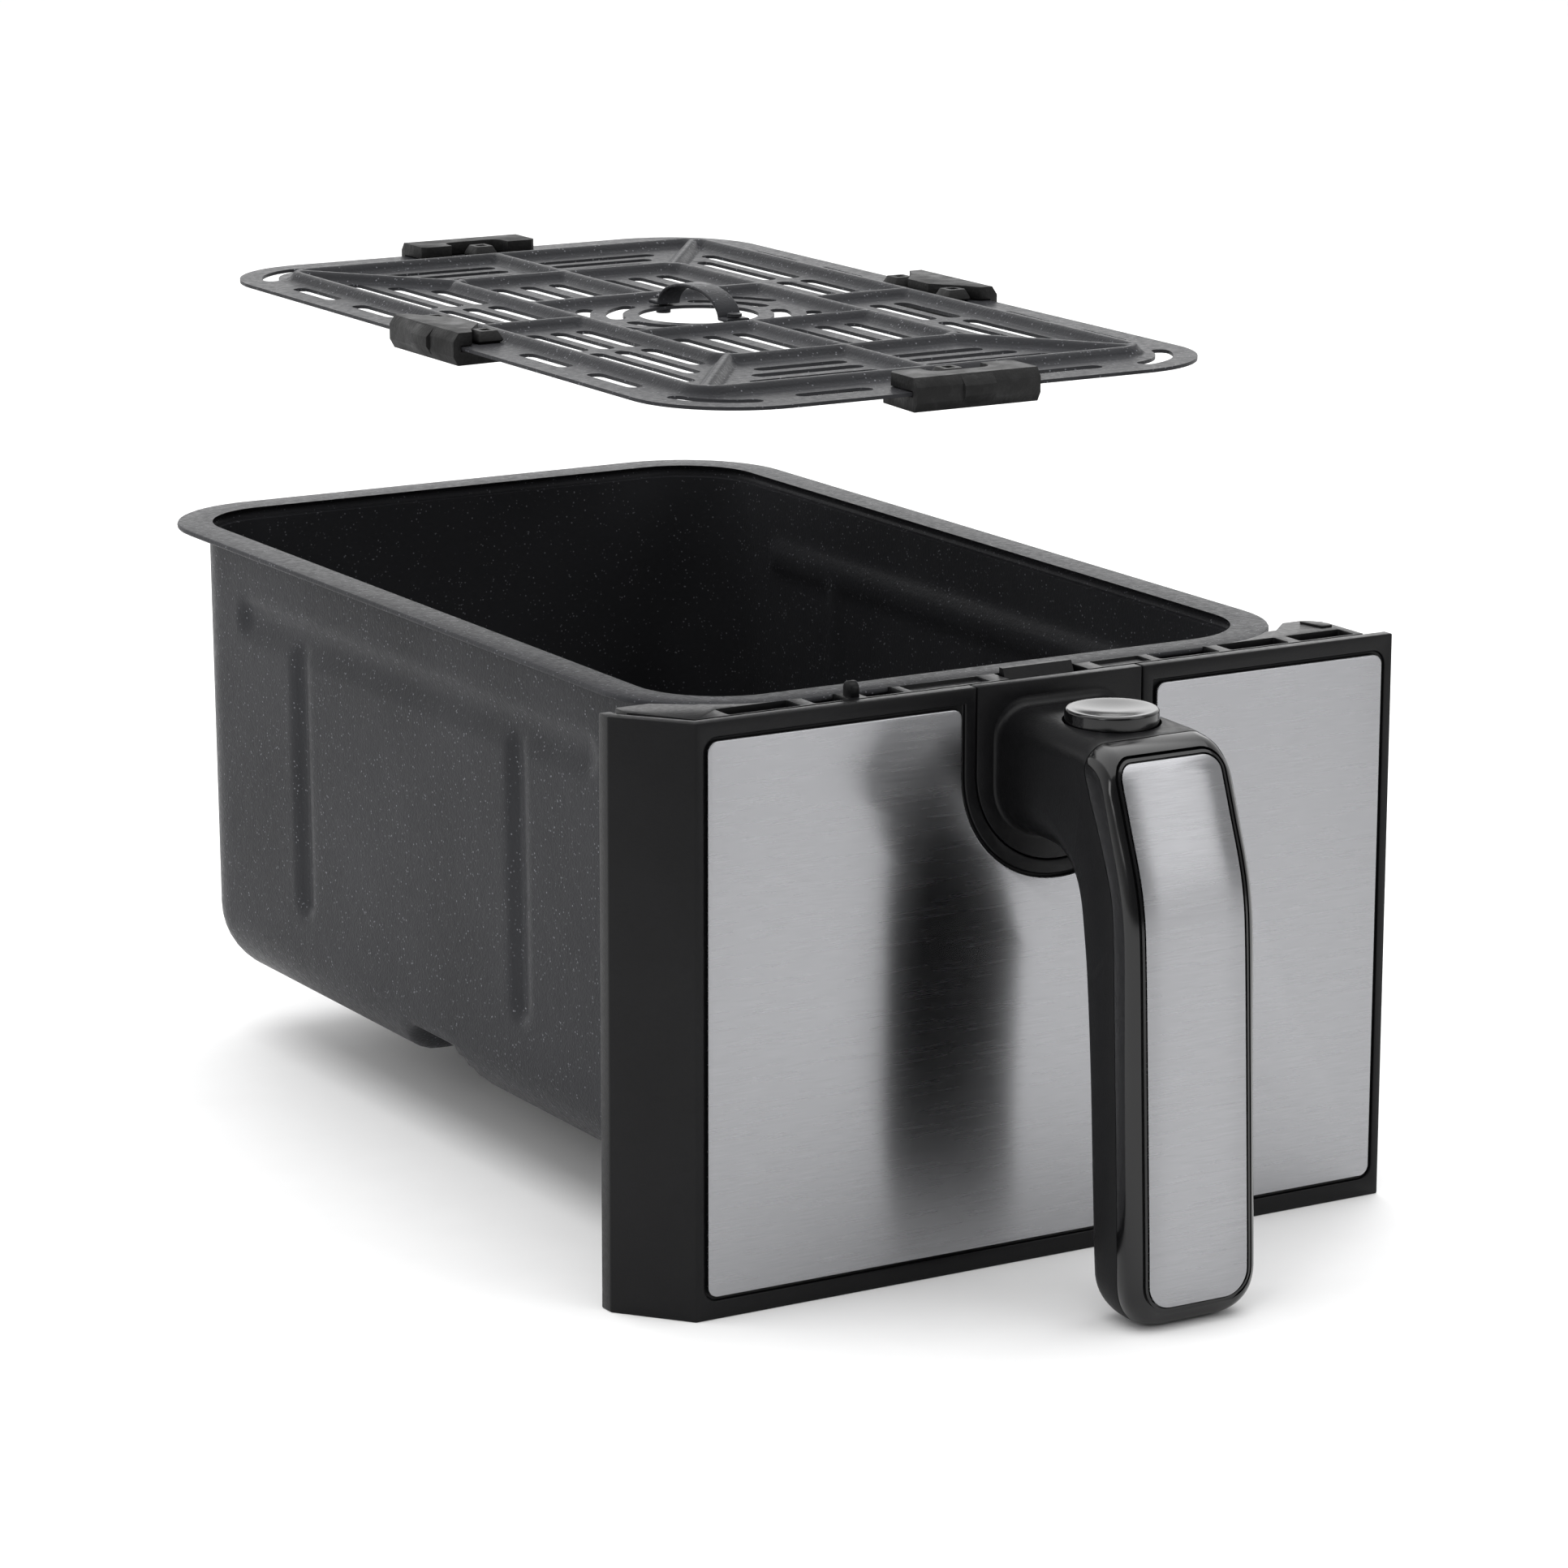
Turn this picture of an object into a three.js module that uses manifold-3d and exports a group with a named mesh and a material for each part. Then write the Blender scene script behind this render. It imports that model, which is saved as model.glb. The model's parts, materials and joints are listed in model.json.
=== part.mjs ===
// Drawer of a two-drawer air fryer: a deep coated pan with its front fascia, handle and
// release latch, and the crisper plate lifted out above it.
//
// Units are millimetres. While modelling, X = 0 is the middle of the steel fascia panel,
// Y = 0 the front face of the fascia (the pan lies towards +Y) and Z = 0 the panel's lower edge.
// The finished group is moved so that the origin is the bottom centre of its bounding box.

import * as THREE from 'three';
import { mergeVertices } from 'three/addons/utils/BufferGeometryUtils.js';
import Module from 'manifold-3d';

const wasm = await Module();
wasm.setup();

// ---------------------------------------------------------------- driving dimensions
const GAP = 0.3;                      // clearance between neighbouring pieces

const PANEL = { width: 176, height: 123, radius: 2.4, thick: 0.8, proud: 0.2 };
const NOTCH = { half: 25.5, bottom: 82.3 };          // the panel's U-shaped cut-out
const BASE = { half: 21.5, bottom: 86.6 };           // the handle's U-shaped base plate
const FASCIA = {
  right: 91, frontLeft: -91, chamfer: 12.5, chamferDepth: 15.5,
  sideEnd: 19.5, bottom: -5.1, top: 127.4, wall: 3,
};
const FASCIA_LEFT = FASCIA.frontLeft - FASCIA.chamfer;
const CHAMFER_ANGLE = Math.atan2(FASCIA.chamferDepth, FASCIA.chamfer);
// How far the inner corners of the fascia's wall sit along from the outer ones.
const FRONT_MITRE = FASCIA.wall * Math.tan(CHAMFER_ANGLE / 2);
const SIDE_MITRE = FASCIA.wall * Math.tan((Math.PI / 2 - CHAMFER_ANGLE) / 2);

const RIM = { left: -91, right: 79, front: 11.4, back: 280, radius: 29, top: 126.8, thick: 1.3 };
const PAN = { flange: 8, wall: 1.2, draft: 1, bottom: 11, fillet: 18, lipRadius: 3 };
const CHANNEL = { front: 120, roofFront: 133, roofBack: 153, back: 168, depth: 10 };

const FRAME = { left: -100.2, right: 86, front: 3.3, back: 17.2, wall: 2.2, bottom: -3, top: 127.1 };
const FRAME_TOWER_BACK = 23;

const HANDLE_X = 1;                   // the handle's middle plane
const HANDLE = { width: 33, wall: 2.4, edge: 3.5, seamDepth: 8 };
const INSERT = { width: 25.4, radius: 3, thick: 0.8, bottom: 0.5, top: 117 };

const BUTTON = { y: -20, radius: 10.3, top: 123.4, bottom: 118, stemFoot: 108.6 };
const SPRING = { y: -22.5, radius: 4.4, wire: 0.55, from: 101.7, to: 115.6, turns: 5 };
const PIVOT = { y: 6.5, z: 104, radius: 1.5, half: 11 };
const HOOK = { armHalf: 4, toothHalf: 9, toothTop: 128.4, armFront: -16.5 };

const PLATE = { width: 143, length: 241, radius: 25, thick: 1, top: 188.5, hole: 14.3 };
const PLATE_X = (RIM.left + RIM.right) / 2;
const PLATE_Y = (RIM.front + RIM.back) / 2;
const RIB = {
  half: 2.6, crown: 1.3, outerX: 13.7, outerY: 19, innerX: 40, innerY: 54.3, cross: 25,
};
const RIB_HEIGHT = { along: 1.9, across: 1.84, diagonal: 1.78 };
const SLOT = { half: 2 };
const LOOP = { half: 3, thick: 0.9, span: 18.6, height: 6.4 };
const CLIP = { half: 16, outside: 2.2, top: 3.3, bottom: -4.3, stud: 2.6, nib: 0.6 };

// ---------------------------------------------------------------- finishes
function finish(color, roughness, metalness) {
  return new THREE.MeshStandardMaterial({ color, roughness, metalness });
}

const COATING = () => finish(0x2b2c2f, 0.5, 0.3);
const SATIN_BLACK = () => finish(0x18181a, 0.5, 0);
const GLOSS_BLACK = () => finish(0x0b0b0c, 0.12, 0);
const BRUSHED = () => finish(0xb4b4b8, 0.35, 1);
const ZINC = () => finish(0x9a9c9e, 0.4, 0.9);
const SILICONE = () => finish(0x1d1d1e, 0.75, 0);

// ---------------------------------------------------------------- solids
// Corners lie on a grid of a thousandth of a millimetre, so that faces meant to meet do meet.
function toSolid(geometry) {
  const bare = geometry.clone();
  bare.deleteAttribute('normal');
  bare.deleteAttribute('uv');
  const merged = mergeVertices(bare, 1e-4);
  return new wasm.Manifold(new wasm.Mesh({
    numProp: 3,
    vertProperties: merged.attributes.position.array.map((value) => Math.round(value * 1000) / 1000),
    triVerts: new Uint32Array(merged.index.array),
  }));
}

function toGeometry(solid) {
  const mesh = solid.getMesh();
  const geometry = new THREE.BufferGeometry();
  geometry.setAttribute('position', new THREE.BufferAttribute(new Float32Array(mesh.vertProperties), 3));
  geometry.setIndex(new THREE.BufferAttribute(new Uint32Array(mesh.triVerts), 1));
  geometry.computeVertexNormals();
  return geometry;
}

const join = (first, ...rest) => rest.reduce((sum, solid) => sum.add(solid), first);
const cut = (first, ...rest) => rest.reduce((sum, solid) => sum.subtract(solid), first);

const model = new THREE.Group();

function addPart(name, solid, material) {
  const mesh = new THREE.Mesh(toGeometry(solid), material);
  mesh.name = name;
  model.add(mesh);
}

function box(x0, x1, y0, y1, z0, z1) {
  const geometry = new THREE.BoxGeometry(x1 - x0, y1 - y0, z1 - z0);
  geometry.translate((x0 + x1) / 2, (y0 + y1) / 2, (z0 + z1) / 2);
  return toSolid(geometry);
}

function extrude(shape, depth, bevel = 0, curveSegments = 8) {
  return new THREE.ExtrudeGeometry(shape, {
    depth: depth - 2 * bevel,
    bevelEnabled: bevel > 0,
    bevelSize: bevel,
    bevelThickness: bevel,
    bevelOffset: -bevel,
    bevelSegments: 3,
    curveSegments,
  }).translate(0, 0, bevel);
}

// A shape drawn in (x, y), standing along Z.
function alongZ(shape, z0, z1, curveSegments) {
  return toSolid(extrude(shape, z1 - z0, 0, curveSegments).translate(0, 0, z0));
}

// A shape drawn in (x, z), lying along Y.
function alongY(shape, y0, y1, curveSegments) {
  return toSolid(extrude(shape, y1 - y0, 0, curveSegments).rotateX(Math.PI / 2).translate(0, y1, 0));
}

// A shape drawn in (y, z), lying along X, with its long edges rounded by the bevel.
function alongX(shape, x0, x1, bevel = 0, curveSegments = 8) {
  const turn = new THREE.Matrix4().makeBasis(
    new THREE.Vector3(0, 1, 0),
    new THREE.Vector3(0, 0, 1),
    new THREE.Vector3(1, 0, 0),
  );
  return toSolid(extrude(shape, x1 - x0, bevel, curveSegments).applyMatrix4(turn).translate(x0, 0, 0));
}

function cylinder(radius, from, to, axis, sides = 20) {
  const start = new THREE.Vector3(...from);
  const length = to - start[axis];
  const geometry = new THREE.CylinderGeometry(radius, radius, length, sides);
  if (axis === 'x') geometry.rotateZ(Math.PI / 2);
  if (axis === 'z') geometry.rotateX(Math.PI / 2);
  const middle = start.clone();
  middle[axis] += length / 2;
  return toSolid(geometry.translate(middle.x, middle.y, middle.z));
}

function polygon(points) {
  return new THREE.Shape(points.map(([u, v]) => new THREE.Vector2(u, v)));
}

function roundedRect(u0, u1, v0, v1, radius) {
  const shape = new THREE.Shape();
  shape.moveTo(u0 + radius, v0);
  shape.lineTo(u1 - radius, v0);
  shape.absarc(u1 - radius, v0 + radius, radius, -Math.PI / 2, 0);
  shape.lineTo(u1, v1 - radius);
  shape.absarc(u1 - radius, v1 - radius, radius, 0, Math.PI / 2);
  shape.lineTo(u0 + radius, v1);
  shape.absarc(u0 + radius, v1 - radius, radius, Math.PI / 2, Math.PI);
  shape.lineTo(u0, v0 + radius);
  shape.absarc(u0 + radius, v0 + radius, radius, Math.PI, Math.PI * 1.5);
  return shape;
}

// A tongue: straight sides down from the top, closed by a half circle.
function tongue(middle, half, bottom, top) {
  const shape = new THREE.Shape();
  shape.moveTo(middle + half, top);
  shape.lineTo(middle - half, top);
  shape.lineTo(middle - half, bottom + half);
  shape.absarc(middle, bottom + half, half, Math.PI, Math.PI * 2);
  return shape;
}

// ---------------------------------------------------------------- pan
const CORNER_STEPS = 6;

// Points round a rectangle whose sides lie `inset` inside the rim's outer edge.
function ring(inset, z) {
  const radius = Math.max(RIM.radius - inset, 4);
  const right = RIM.right - inset - radius;
  const left = RIM.left + inset + radius;
  const back = RIM.back - inset - radius;
  const front = RIM.front + inset + radius;
  const centres = [[right, front, -90], [right, back, 0], [left, back, 90], [left, front, 180]];
  const points = [];
  for (const [x, y, start] of centres) {
    for (let step = 0; step <= CORNER_STEPS; step += 1) {
      const angle = THREE.MathUtils.degToRad(start + 90 * step / CORNER_STEPS);
      points.push([x + radius * Math.cos(angle), y + radius * Math.sin(angle), z]);
    }
  }
  return points;
}

// Skins a stack of rings from the lowest to the highest and closes both ends.
function loft(rings) {
  const count = rings[0].length;
  const positions = rings.flat(2);
  const index = [];
  for (let level = 0; level + 1 < rings.length; level += 1) {
    for (let i = 0; i < count; i += 1) {
      const next = (i + 1) % count;
      const low = level * count;
      const high = low + count;
      index.push(low + i, low + next, high + next, low + i, high + next, high + i);
    }
  }
  const lastRing = (rings.length - 1) * count;
  for (let i = 1; i + 1 < count; i += 1) {
    index.push(0, i + 1, i, lastRing, lastRing + i, lastRing + i + 1);
  }
  const geometry = new THREE.BufferGeometry();
  geometry.setAttribute('position', new THREE.Float32BufferAttribute(positions, 3));
  geometry.setIndex(index);
  return toSolid(geometry);
}

// Rings up a drafted wall that starts with a quarter-round at the floor.
function bowl(inset, floor, fillet, top) {
  const rings = [];
  const steps = 5;
  for (let step = 0; step <= steps; step += 1) {
    const angle = (Math.PI / 2) * step / steps;
    const spread = inset + PAN.draft + fillet * (1 - Math.sin(angle));
    rings.push(ring(spread, floor + fillet * (1 - Math.cos(angle))));
  }
  rings.push(ring(inset, top));
  return rings;
}

function channelPrism(grow) {
  const { front, roofFront, roofBack, back, depth } = CHANNEL;
  const floor = PAN.bottom - 5;
  return alongX(polygon([
    [front - grow - 4, floor],
    [back + grow + 4, floor],
    [back + grow, PAN.bottom + grow],
    [roofBack + grow, PAN.bottom + depth + grow],
    [roofFront - grow, PAN.bottom + depth + grow],
    [front - grow, PAN.bottom + grow],
  ]), RIM.left - 5, RIM.right + 5);
}

function makePan() {
  const wallTop = RIM.top - RIM.thick;
  const outside = loft([
    ...bowl(PAN.flange, PAN.bottom, PAN.fillet, wallTop - 0.01),
    ring(0, wallTop),
    ring(0, RIM.top),
  ]);
  const innerInset = PAN.flange + PAN.wall;
  const lipFoot = RIM.top - PAN.lipRadius;
  const inside = [...bowl(innerInset, PAN.bottom + PAN.wall, PAN.fillet - PAN.wall, lipFoot)];
  for (let step = 1; step <= 3; step += 1) {
    const angle = (Math.PI / 2) * step / 3;
    const spread = PAN.lipRadius * (1 - Math.cos(angle));
    inside.push(ring(innerInset - spread, RIM.top - PAN.lipRadius * (1 - Math.sin(angle))));
  }
  inside.push(ring(innerInset - PAN.lipRadius, RIM.top + 2));
  return cut(cut(outside, channelPrism(0)), cut(loft(inside), channelPrism(PAN.wall)));
}

// ---------------------------------------------------------------- fasteners
const BRACKET = { left: -76, right: 64, bottom: 22, top: 112, front: 17.6, back: 18.8 };
const PAN_SCREWS = [[-64, 100], [52, 100], [-64, 34], [52, 34]];
const FASCIA_SCREWS = [[-78, 4], [-30, 4], [32, 4], [78, 4]];
const HANDLE_SCREWS = [[HANDLE_X - 17.5, 117], [HANDLE_X + 17.5, 117], [HANDLE_X, 91.5]];
const FASCIA_BOSS = { end: 11.5, radius: 3.6 };

// A pan-head screw lying along Y; its head is at the `headAt` side.
function screw(x, z, shankFrom, shankTo, shankRadius, headFrom, headTo, headRadius) {
  const slotHalf = 0.35;
  const shank = cylinder(shankRadius, [x, shankFrom, z], shankTo, 'y', 12);
  const head = cylinder(headRadius, [x, headFrom, z], headTo, 'y', 16);
  const outer = headTo > shankTo ? headTo : headFrom;
  const reach = headRadius * 0.6;
  const near = outer - 0.7;
  const far = outer + 0.7;
  const across = box(x - reach, x + reach, near, far, z - slotHalf, z + slotHalf);
  const upright = box(x - slotHalf, x + slotHalf, near, far, z - reach, z + reach);
  return cut(join(shank, head), across, upright);
}

function addScrews() {
  PAN_SCREWS.forEach(([x, z], i) => {
    addPart(`pan_screw_${i + 1}`, screw(x, z, 13.5, 19, 1.8, 12.2, 14.7, 3.6), ZINC());
  });
  FASCIA_SCREWS.forEach(([x, z], i) => {
    addPart(`fascia_screw_${i + 1}`, screw(x, z, 5.5, 18.5, 1.3, 17.5, 19.3, 2.8), ZINC());
  });
  HANDLE_SCREWS.forEach(([x, z], i) => {
    addPart(`handle_screw_${i + 1}`, screw(x, z, 6, 18, 1.3, 17.5, 19, 2.8), ZINC());
  });
}

function makePanBracket() {
  const plate = box(BRACKET.left, BRACKET.right, BRACKET.front, BRACKET.back, BRACKET.bottom, BRACKET.top);
  const holes = PAN_SCREWS.map(([x, z]) => cylinder(2.1, [x, 16, z], 21, 'y'));
  const [screwX, screwZ] = HANDLE_SCREWS[2];
  const window = box(screwX - 22, screwX + 22, 16, 21, screwZ - 8, screwZ + 8);
  const lower = box(-40, 30, 16, 21, 48, 72);
  return cut(plate, window, lower, ...holes);
}

// ---------------------------------------------------------------- fascia and frame
function makeFascia() {
  const { right, frontLeft, chamferDepth, sideEnd, wall, bottom, top } = FASCIA;
  const shell = alongZ(polygon([
    [frontLeft, 0],
    [right, 0],
    [right, wall],
    [frontLeft + FRONT_MITRE, wall],
    [FASCIA_LEFT + wall, chamferDepth + SIDE_MITRE],
    [FASCIA_LEFT + wall, sideEnd],
    [FASCIA_LEFT, sideEnd],
    [FASCIA_LEFT, chamferDepth],
  ]), bottom, top);
  const groove = 0.9;
  const recessDepth = PANEL.thick - PANEL.proud + GAP;
  const half = PANEL.width / 2 + groove;
  const outline = roundedRect(-half, half, -groove, PANEL.height + groove, PANEL.radius + groove);
  const recess = cut(
    alongY(outline, -1, recessDepth),
    alongY(tongue(HANDLE_X, NOTCH.half - groove, NOTCH.bottom + groove, top + 1), -2, 2),
  );
  const seat = alongY(tongue(HANDLE_X, BASE.half + GAP, BASE.bottom - GAP, top + 1), -1, wall + 1, 12);
  const bosses = FASCIA_SCREWS.map(([x, z]) => cut(
    cylinder(FASCIA_BOSS.radius, [x, wall - 1, z], FASCIA_BOSS.end, 'y', 16),
    cylinder(1.6, [x, wall + 1, z], FASCIA_BOSS.end + 1, 'y', 12),
  ));
  return join(cut(shell, recess, seat), ...bosses);
}

function makePanel() {
  const half = PANEL.width / 2;
  const outline = roundedRect(-half, half, 0, PANEL.height, PANEL.radius);
  const sheet = alongY(outline, -PANEL.proud, PANEL.thick - PANEL.proud);
  return cut(sheet, alongY(tongue(HANDLE_X, NOTCH.half, NOTCH.bottom, PANEL.height + 5), -2, 2, 12));
}

const POCKETS = [[-80, -62], [-58.5, -50], [-45.5, -36], [31, 47], [50, 66], [69, 84]];
const SHALLOW = [[-34, -14], [15.5, 28.5]];
const CAVITY_INSET = 2.6;             // keeps the frame's cavity clear of its own chamfer
const LATCH_SLOT = { half: 10.4, front: 4.1, back: 11.4 };

function makeFrame() {
  const { left, right, front, back, wall, bottom, top } = FRAME;
  const towerBack = FRAME_TOWER_BACK;
  const chamferX = FASCIA.frontLeft + FRONT_MITRE + GAP;
  const chamferY = FASCIA.chamferDepth + SIDE_MITRE + GAP;
  const block = alongZ(polygon([
    [chamferX, front],
    [right, front],
    [right, towerBack - 5],
    [right - 4, towerBack],
    [right - 9, towerBack],
    [right - 15, back],
    [left + 19, back],
    [left + 11, towerBack],
    [left + 3, towerBack],
    [left, towerBack - 3],
    [left, chamferY],
  ]), bottom, top);
  const cavity = alongZ(polygon([
    [chamferX + wall * Math.SQRT2 + 1, front - 1],
    [right - wall, front - 1],
    [right - wall, back - wall],
    [left + wall + CAVITY_INSET, back - wall],
  ]), bottom + wall, top - 2.5);
  const rimSeat = loft([ring(-GAP, RIM.top - RIM.thick - GAP), ring(-GAP, top + 2)]);
  const pockets = POCKETS.map(([x0, x1]) => box(x0, x1, 5, 11.2, top - 6, top + 1));
  const shallow = SHALLOW.map(([x0, x1]) => box(x0, x1, 5, 13, top - 0.8, top + 1));
  const latchSlot = box(
    HANDLE_X - LATCH_SLOT.half,
    HANDLE_X + LATCH_SLOT.half,
    LATCH_SLOT.front,
    LATCH_SLOT.back,
    top - 4,
    top + 1,
  );
  const holes = [
    ...PAN_SCREWS.map(([x, z]) => cylinder(2.2, [x, 13, z], 20, 'y')),
    ...FASCIA_SCREWS.map(([x, z]) => cylinder(1.8, [x, 13, z], 20, 'y')),
    ...HANDLE_SCREWS.map(([x, z]) => cylinder(1.8, [x, 13, z], 20, 'y')),
  ];
  const lowerTrim = FASCIA_SCREWS.map(([x, z]) => cylinder(3.4, [x, 17.2, z], 30, 'y'));
  const shell = cut(block, cavity, rimSeat, ...pockets, ...shallow, latchSlot, ...holes, ...lowerTrim);
  const cheeks = [-1, 1].map((side) => {
    const near = HANDLE_X + side * 7.2;
    const far = HANDLE_X + side * 9.4;
    const cheek = box(Math.min(near, far), Math.max(near, far), 3.6, back - wall + 0.5, 99.5, 108.5);
    return cut(cheek, cylinder(PIVOT.radius + 0.1, [HANDLE_X - 15, PIVOT.y, PIVOT.z], HANDLE_X + 15, 'x'));
  });
  const peg = join(
    box(-49, -47, 6, 9.5, top - 1, top + 1.2),
    cylinder(1.75, [-49, 7.75, top + 1.2], -47, 'x', 12),
  );
  return join(shell, ...cheeks, peg);
}

// ---------------------------------------------------------------- handle
// Side outline of the whole handle, in (y, z); `inset` shrinks it to the hollow inside.
function handleOutline(inset) {
  const shape = new THREE.Shape();
  const plateY = FASCIA.wall + (inset > 0 ? 2 : -1.5);
  shape.moveTo(plateY, 121.8 - inset);
  shape.lineTo(-33, 120.6 - inset);
  shape.quadraticCurveTo(-40.6 + inset * 0.8, 120.2 - inset, -43.4 + inset, 114 - inset * 0.3);
  shape.lineTo(-50.6 + inset, 95);
  shape.quadraticCurveTo(-52.8 + inset, 89, -53 + inset, 84);
  shape.lineTo(-56.6 + inset, 6);
  shape.quadraticCurveTo(-56.8 + inset, -4.8 + inset, -48.5, -4.9 + inset);
  shape.quadraticCurveTo(-39 - inset, -4.8 + inset, -38.6 - inset, 6);
  shape.lineTo(-34.6 - inset, 76);
  shape.quadraticCurveTo(-32.8 - inset, 92.6 + inset, -14, 93.2 + inset);
  shape.lineTo(plateY, 93.6 + inset);
  return shape;
}

// The part of the handle in front of the seam, in (y, z).
function seamRegion(gap) {
  const depth = HANDLE.seamDepth - gap;
  return polygon([
    [-80, 140],
    [-42 + depth, 140],
    [-42 + depth, 113],
    [-50.6 + depth, 95],
    [-53 + depth, 84],
    [-56.6 + depth, 4],
    [-56.6 + depth, -20],
    [-80, -20],
  ]);
}

function handleBody(inset) {
  const half = HANDLE.width / 2 - inset;
  return alongX(handleOutline(inset), HANDLE_X - half, HANDLE_X + half, inset > 0 ? 0 : HANDLE.edge, 5);
}

function makeRearShell() {
  const half = HANDLE.width / 2;
  const seam = alongX(seamRegion(0), HANDLE_X - half - 5, HANDLE_X + half + 5);
  const plate = alongY(tongue(HANDLE_X, BASE.half, BASE.bottom, FASCIA.top), 0, FASCIA.wall, 12);
  const solid = cut(join(handleBody(0), plate), seam);
  const hollow = handleBody(HANDLE.wall);
  const buttonHole = cylinder(BUTTON.radius + 0.35, [HANDLE_X, BUTTON.y, 117], 125, 'z', 32);
  const spring = cylinder(SPRING.radius + 1.4, [HANDLE_X, SPRING.y, 94], SPRING.from - GAP, 'z', 16);
  const bosses = HANDLE_SCREWS.map(([x, z]) => cut(
    cylinder(3.2, [x, FASCIA.wall - 1, z], FRAME.back - FRAME.wall - GAP, 'y', 14),
    cylinder(1.6, [x, FASCIA.wall + 1, z], 20, 'y', 12),
  ));
  const shell = cut(solid, hollow, buttonHole);
  return join(shell, spring, ...bosses);
}

function makeBezel() {
  const half = HANDLE.width / 2;
  const front = handleBody(0).intersect(alongX(seamRegion(GAP), HANDLE_X - half - 5, HANDLE_X + half + 5));
  const hollow = handleBody(HANDLE.wall + 0.6);
  return cut(front, hollow, insertSolid(GAP, 3));
}

// The brushed strip in the handle's front, grown by `grow` and reaching `forward` out of it.
function insertSolid(grow, forward) {
  const half = INSERT.width / 2 + grow;
  const back = INSERT.thick + grow;
  const bottom = INSERT.bottom - grow;
  const top = INSERT.top + grow;
  const strip = alongY(
    roundedRect(HANDLE_X - half, HANDLE_X + half, bottom, top, INSERT.radius + grow),
    -80,
    -30,
    4,
  );
  const sweep = alongX(polygon([
    [-41.2 - forward, 118.5],
    [-41.2 + back, 118.5],
    [-43.4 + back, 114],
    [-50.6 + back, 95],
    [-53 + back, 84],
    [-56.6 + back, 0],
    [-56.6 + back, -3],
    [-56.6 - forward, -3],
    [-56.6 - forward, 0],
    [-53 - forward, 84],
    [-50.6 - forward, 95],
    [-43.4 - forward, 114],
  ]), HANDLE_X - half - 1, HANDLE_X + half + 1);
  return strip.intersect(sweep);
}

// ---------------------------------------------------------------- release latch
function makeButton() {
  const { radius, top, bottom, y } = BUTTON;
  const profile = [
    [0, bottom - 2],
    [11.6, bottom - 2],
    [11.6, bottom - 0.6],
    [radius, bottom - 0.6],
    [radius, top - 0.8],
    [radius - 0.8, top],
    [radius * 0.75, top - 0.5],
    [radius * 0.4, top - 1],
    [0, top - 1.15],
  ].map(([r, z]) => new THREE.Vector2(r, z));
  const cap = toSolid(new THREE.LatheGeometry(profile, 32).rotateX(Math.PI / 2).translate(HANDLE_X, y, 0));
  const stem = box(HANDLE_X - 3, HANDLE_X + 3, -15, -12, BUTTON.stemFoot, bottom - 1);
  const post = cylinder(2.2, [HANDLE_X, SPRING.y, 112], bottom - 1, 'z', 12);
  return join(cap, stem, post);
}

class Helix extends THREE.Curve {
  constructor(centre, radius, length, turns, axis) {
    super();
    Object.assign(this, { centre, radius, length, turns, axis });
  }

  getPoint(t, target = new THREE.Vector3()) {
    const angle = t * this.turns * Math.PI * 2;
    const u = this.radius * Math.cos(angle);
    const v = this.radius * Math.sin(angle);
    const w = this.length * t;
    if (this.axis === 'z') return target.set(u, v, w).add(this.centre);
    return target.set(w, u, v).add(this.centre);
  }
}

function coil(centre, radius, wire, length, turns, axis) {
  const sides = 6;
  const section = new THREE.Shape();
  for (let i = 0; i < sides; i += 1) {
    const angle = i * Math.PI * 2 / sides;
    const [u, v] = [wire * Math.cos(angle), wire * Math.sin(angle)];
    if (i === 0) section.moveTo(u, v);
    else section.lineTo(u, v);
  }
  return toSolid(new THREE.ExtrudeGeometry(section, {
    extrudePath: new Helix(centre, radius, length, turns, axis),
    steps: Math.round(turns * 14),
    bevelEnabled: false,
  }));
}

function makeButtonSpring() {
  const start = new THREE.Vector3(HANDLE_X, SPRING.y, SPRING.from + SPRING.wire);
  const length = SPRING.to - SPRING.from - 2 * SPRING.wire;
  return coil(start, SPRING.radius, SPRING.wire, length, SPRING.turns, 'z');
}

function makeHookSpring() {
  return coil(new THREE.Vector3(HANDLE_X + 4.9, PIVOT.y, PIVOT.z), 2.6, 0.3, 1.6, 2.25, 'x');
}

function makePin() {
  return cylinder(PIVOT.radius, [HANDLE_X - PIVOT.half, PIVOT.y, PIVOT.z], HANDLE_X + PIVOT.half, 'x');
}

function makeHook() {
  const { y, z } = PIVOT;
  const arm = alongX(polygon([
    [HOOK.armFront, z],
    [y, z - 3.4],
    [y + 3.4, z - 1],
    [y + 4.3, z + 18],
    [y + 1.8, z + 18],
    [y - 1.4, z + 4.2],
    [HOOK.armFront, z + 4],
  ]), HANDLE_X - HOOK.armHalf, HANDLE_X + HOOK.armHalf);
  const tooth = alongX(polygon([
    [y + 1.8, z + 15.5],
    [y + 4.3, z + 15.5],
    [y + 4.3, HOOK.toothTop],
    [y + 3, HOOK.toothTop],
    [y + 1.8, HOOK.toothTop - 2.4],
  ]), HANDLE_X - HOOK.toothHalf, HANDLE_X + HOOK.toothHalf);
  const bore = cylinder(PIVOT.radius + 0.1, [HANDLE_X - 10, y, z], HANDLE_X + 10, 'x');
  return cut(join(arm, tooth), bore);
}

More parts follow.
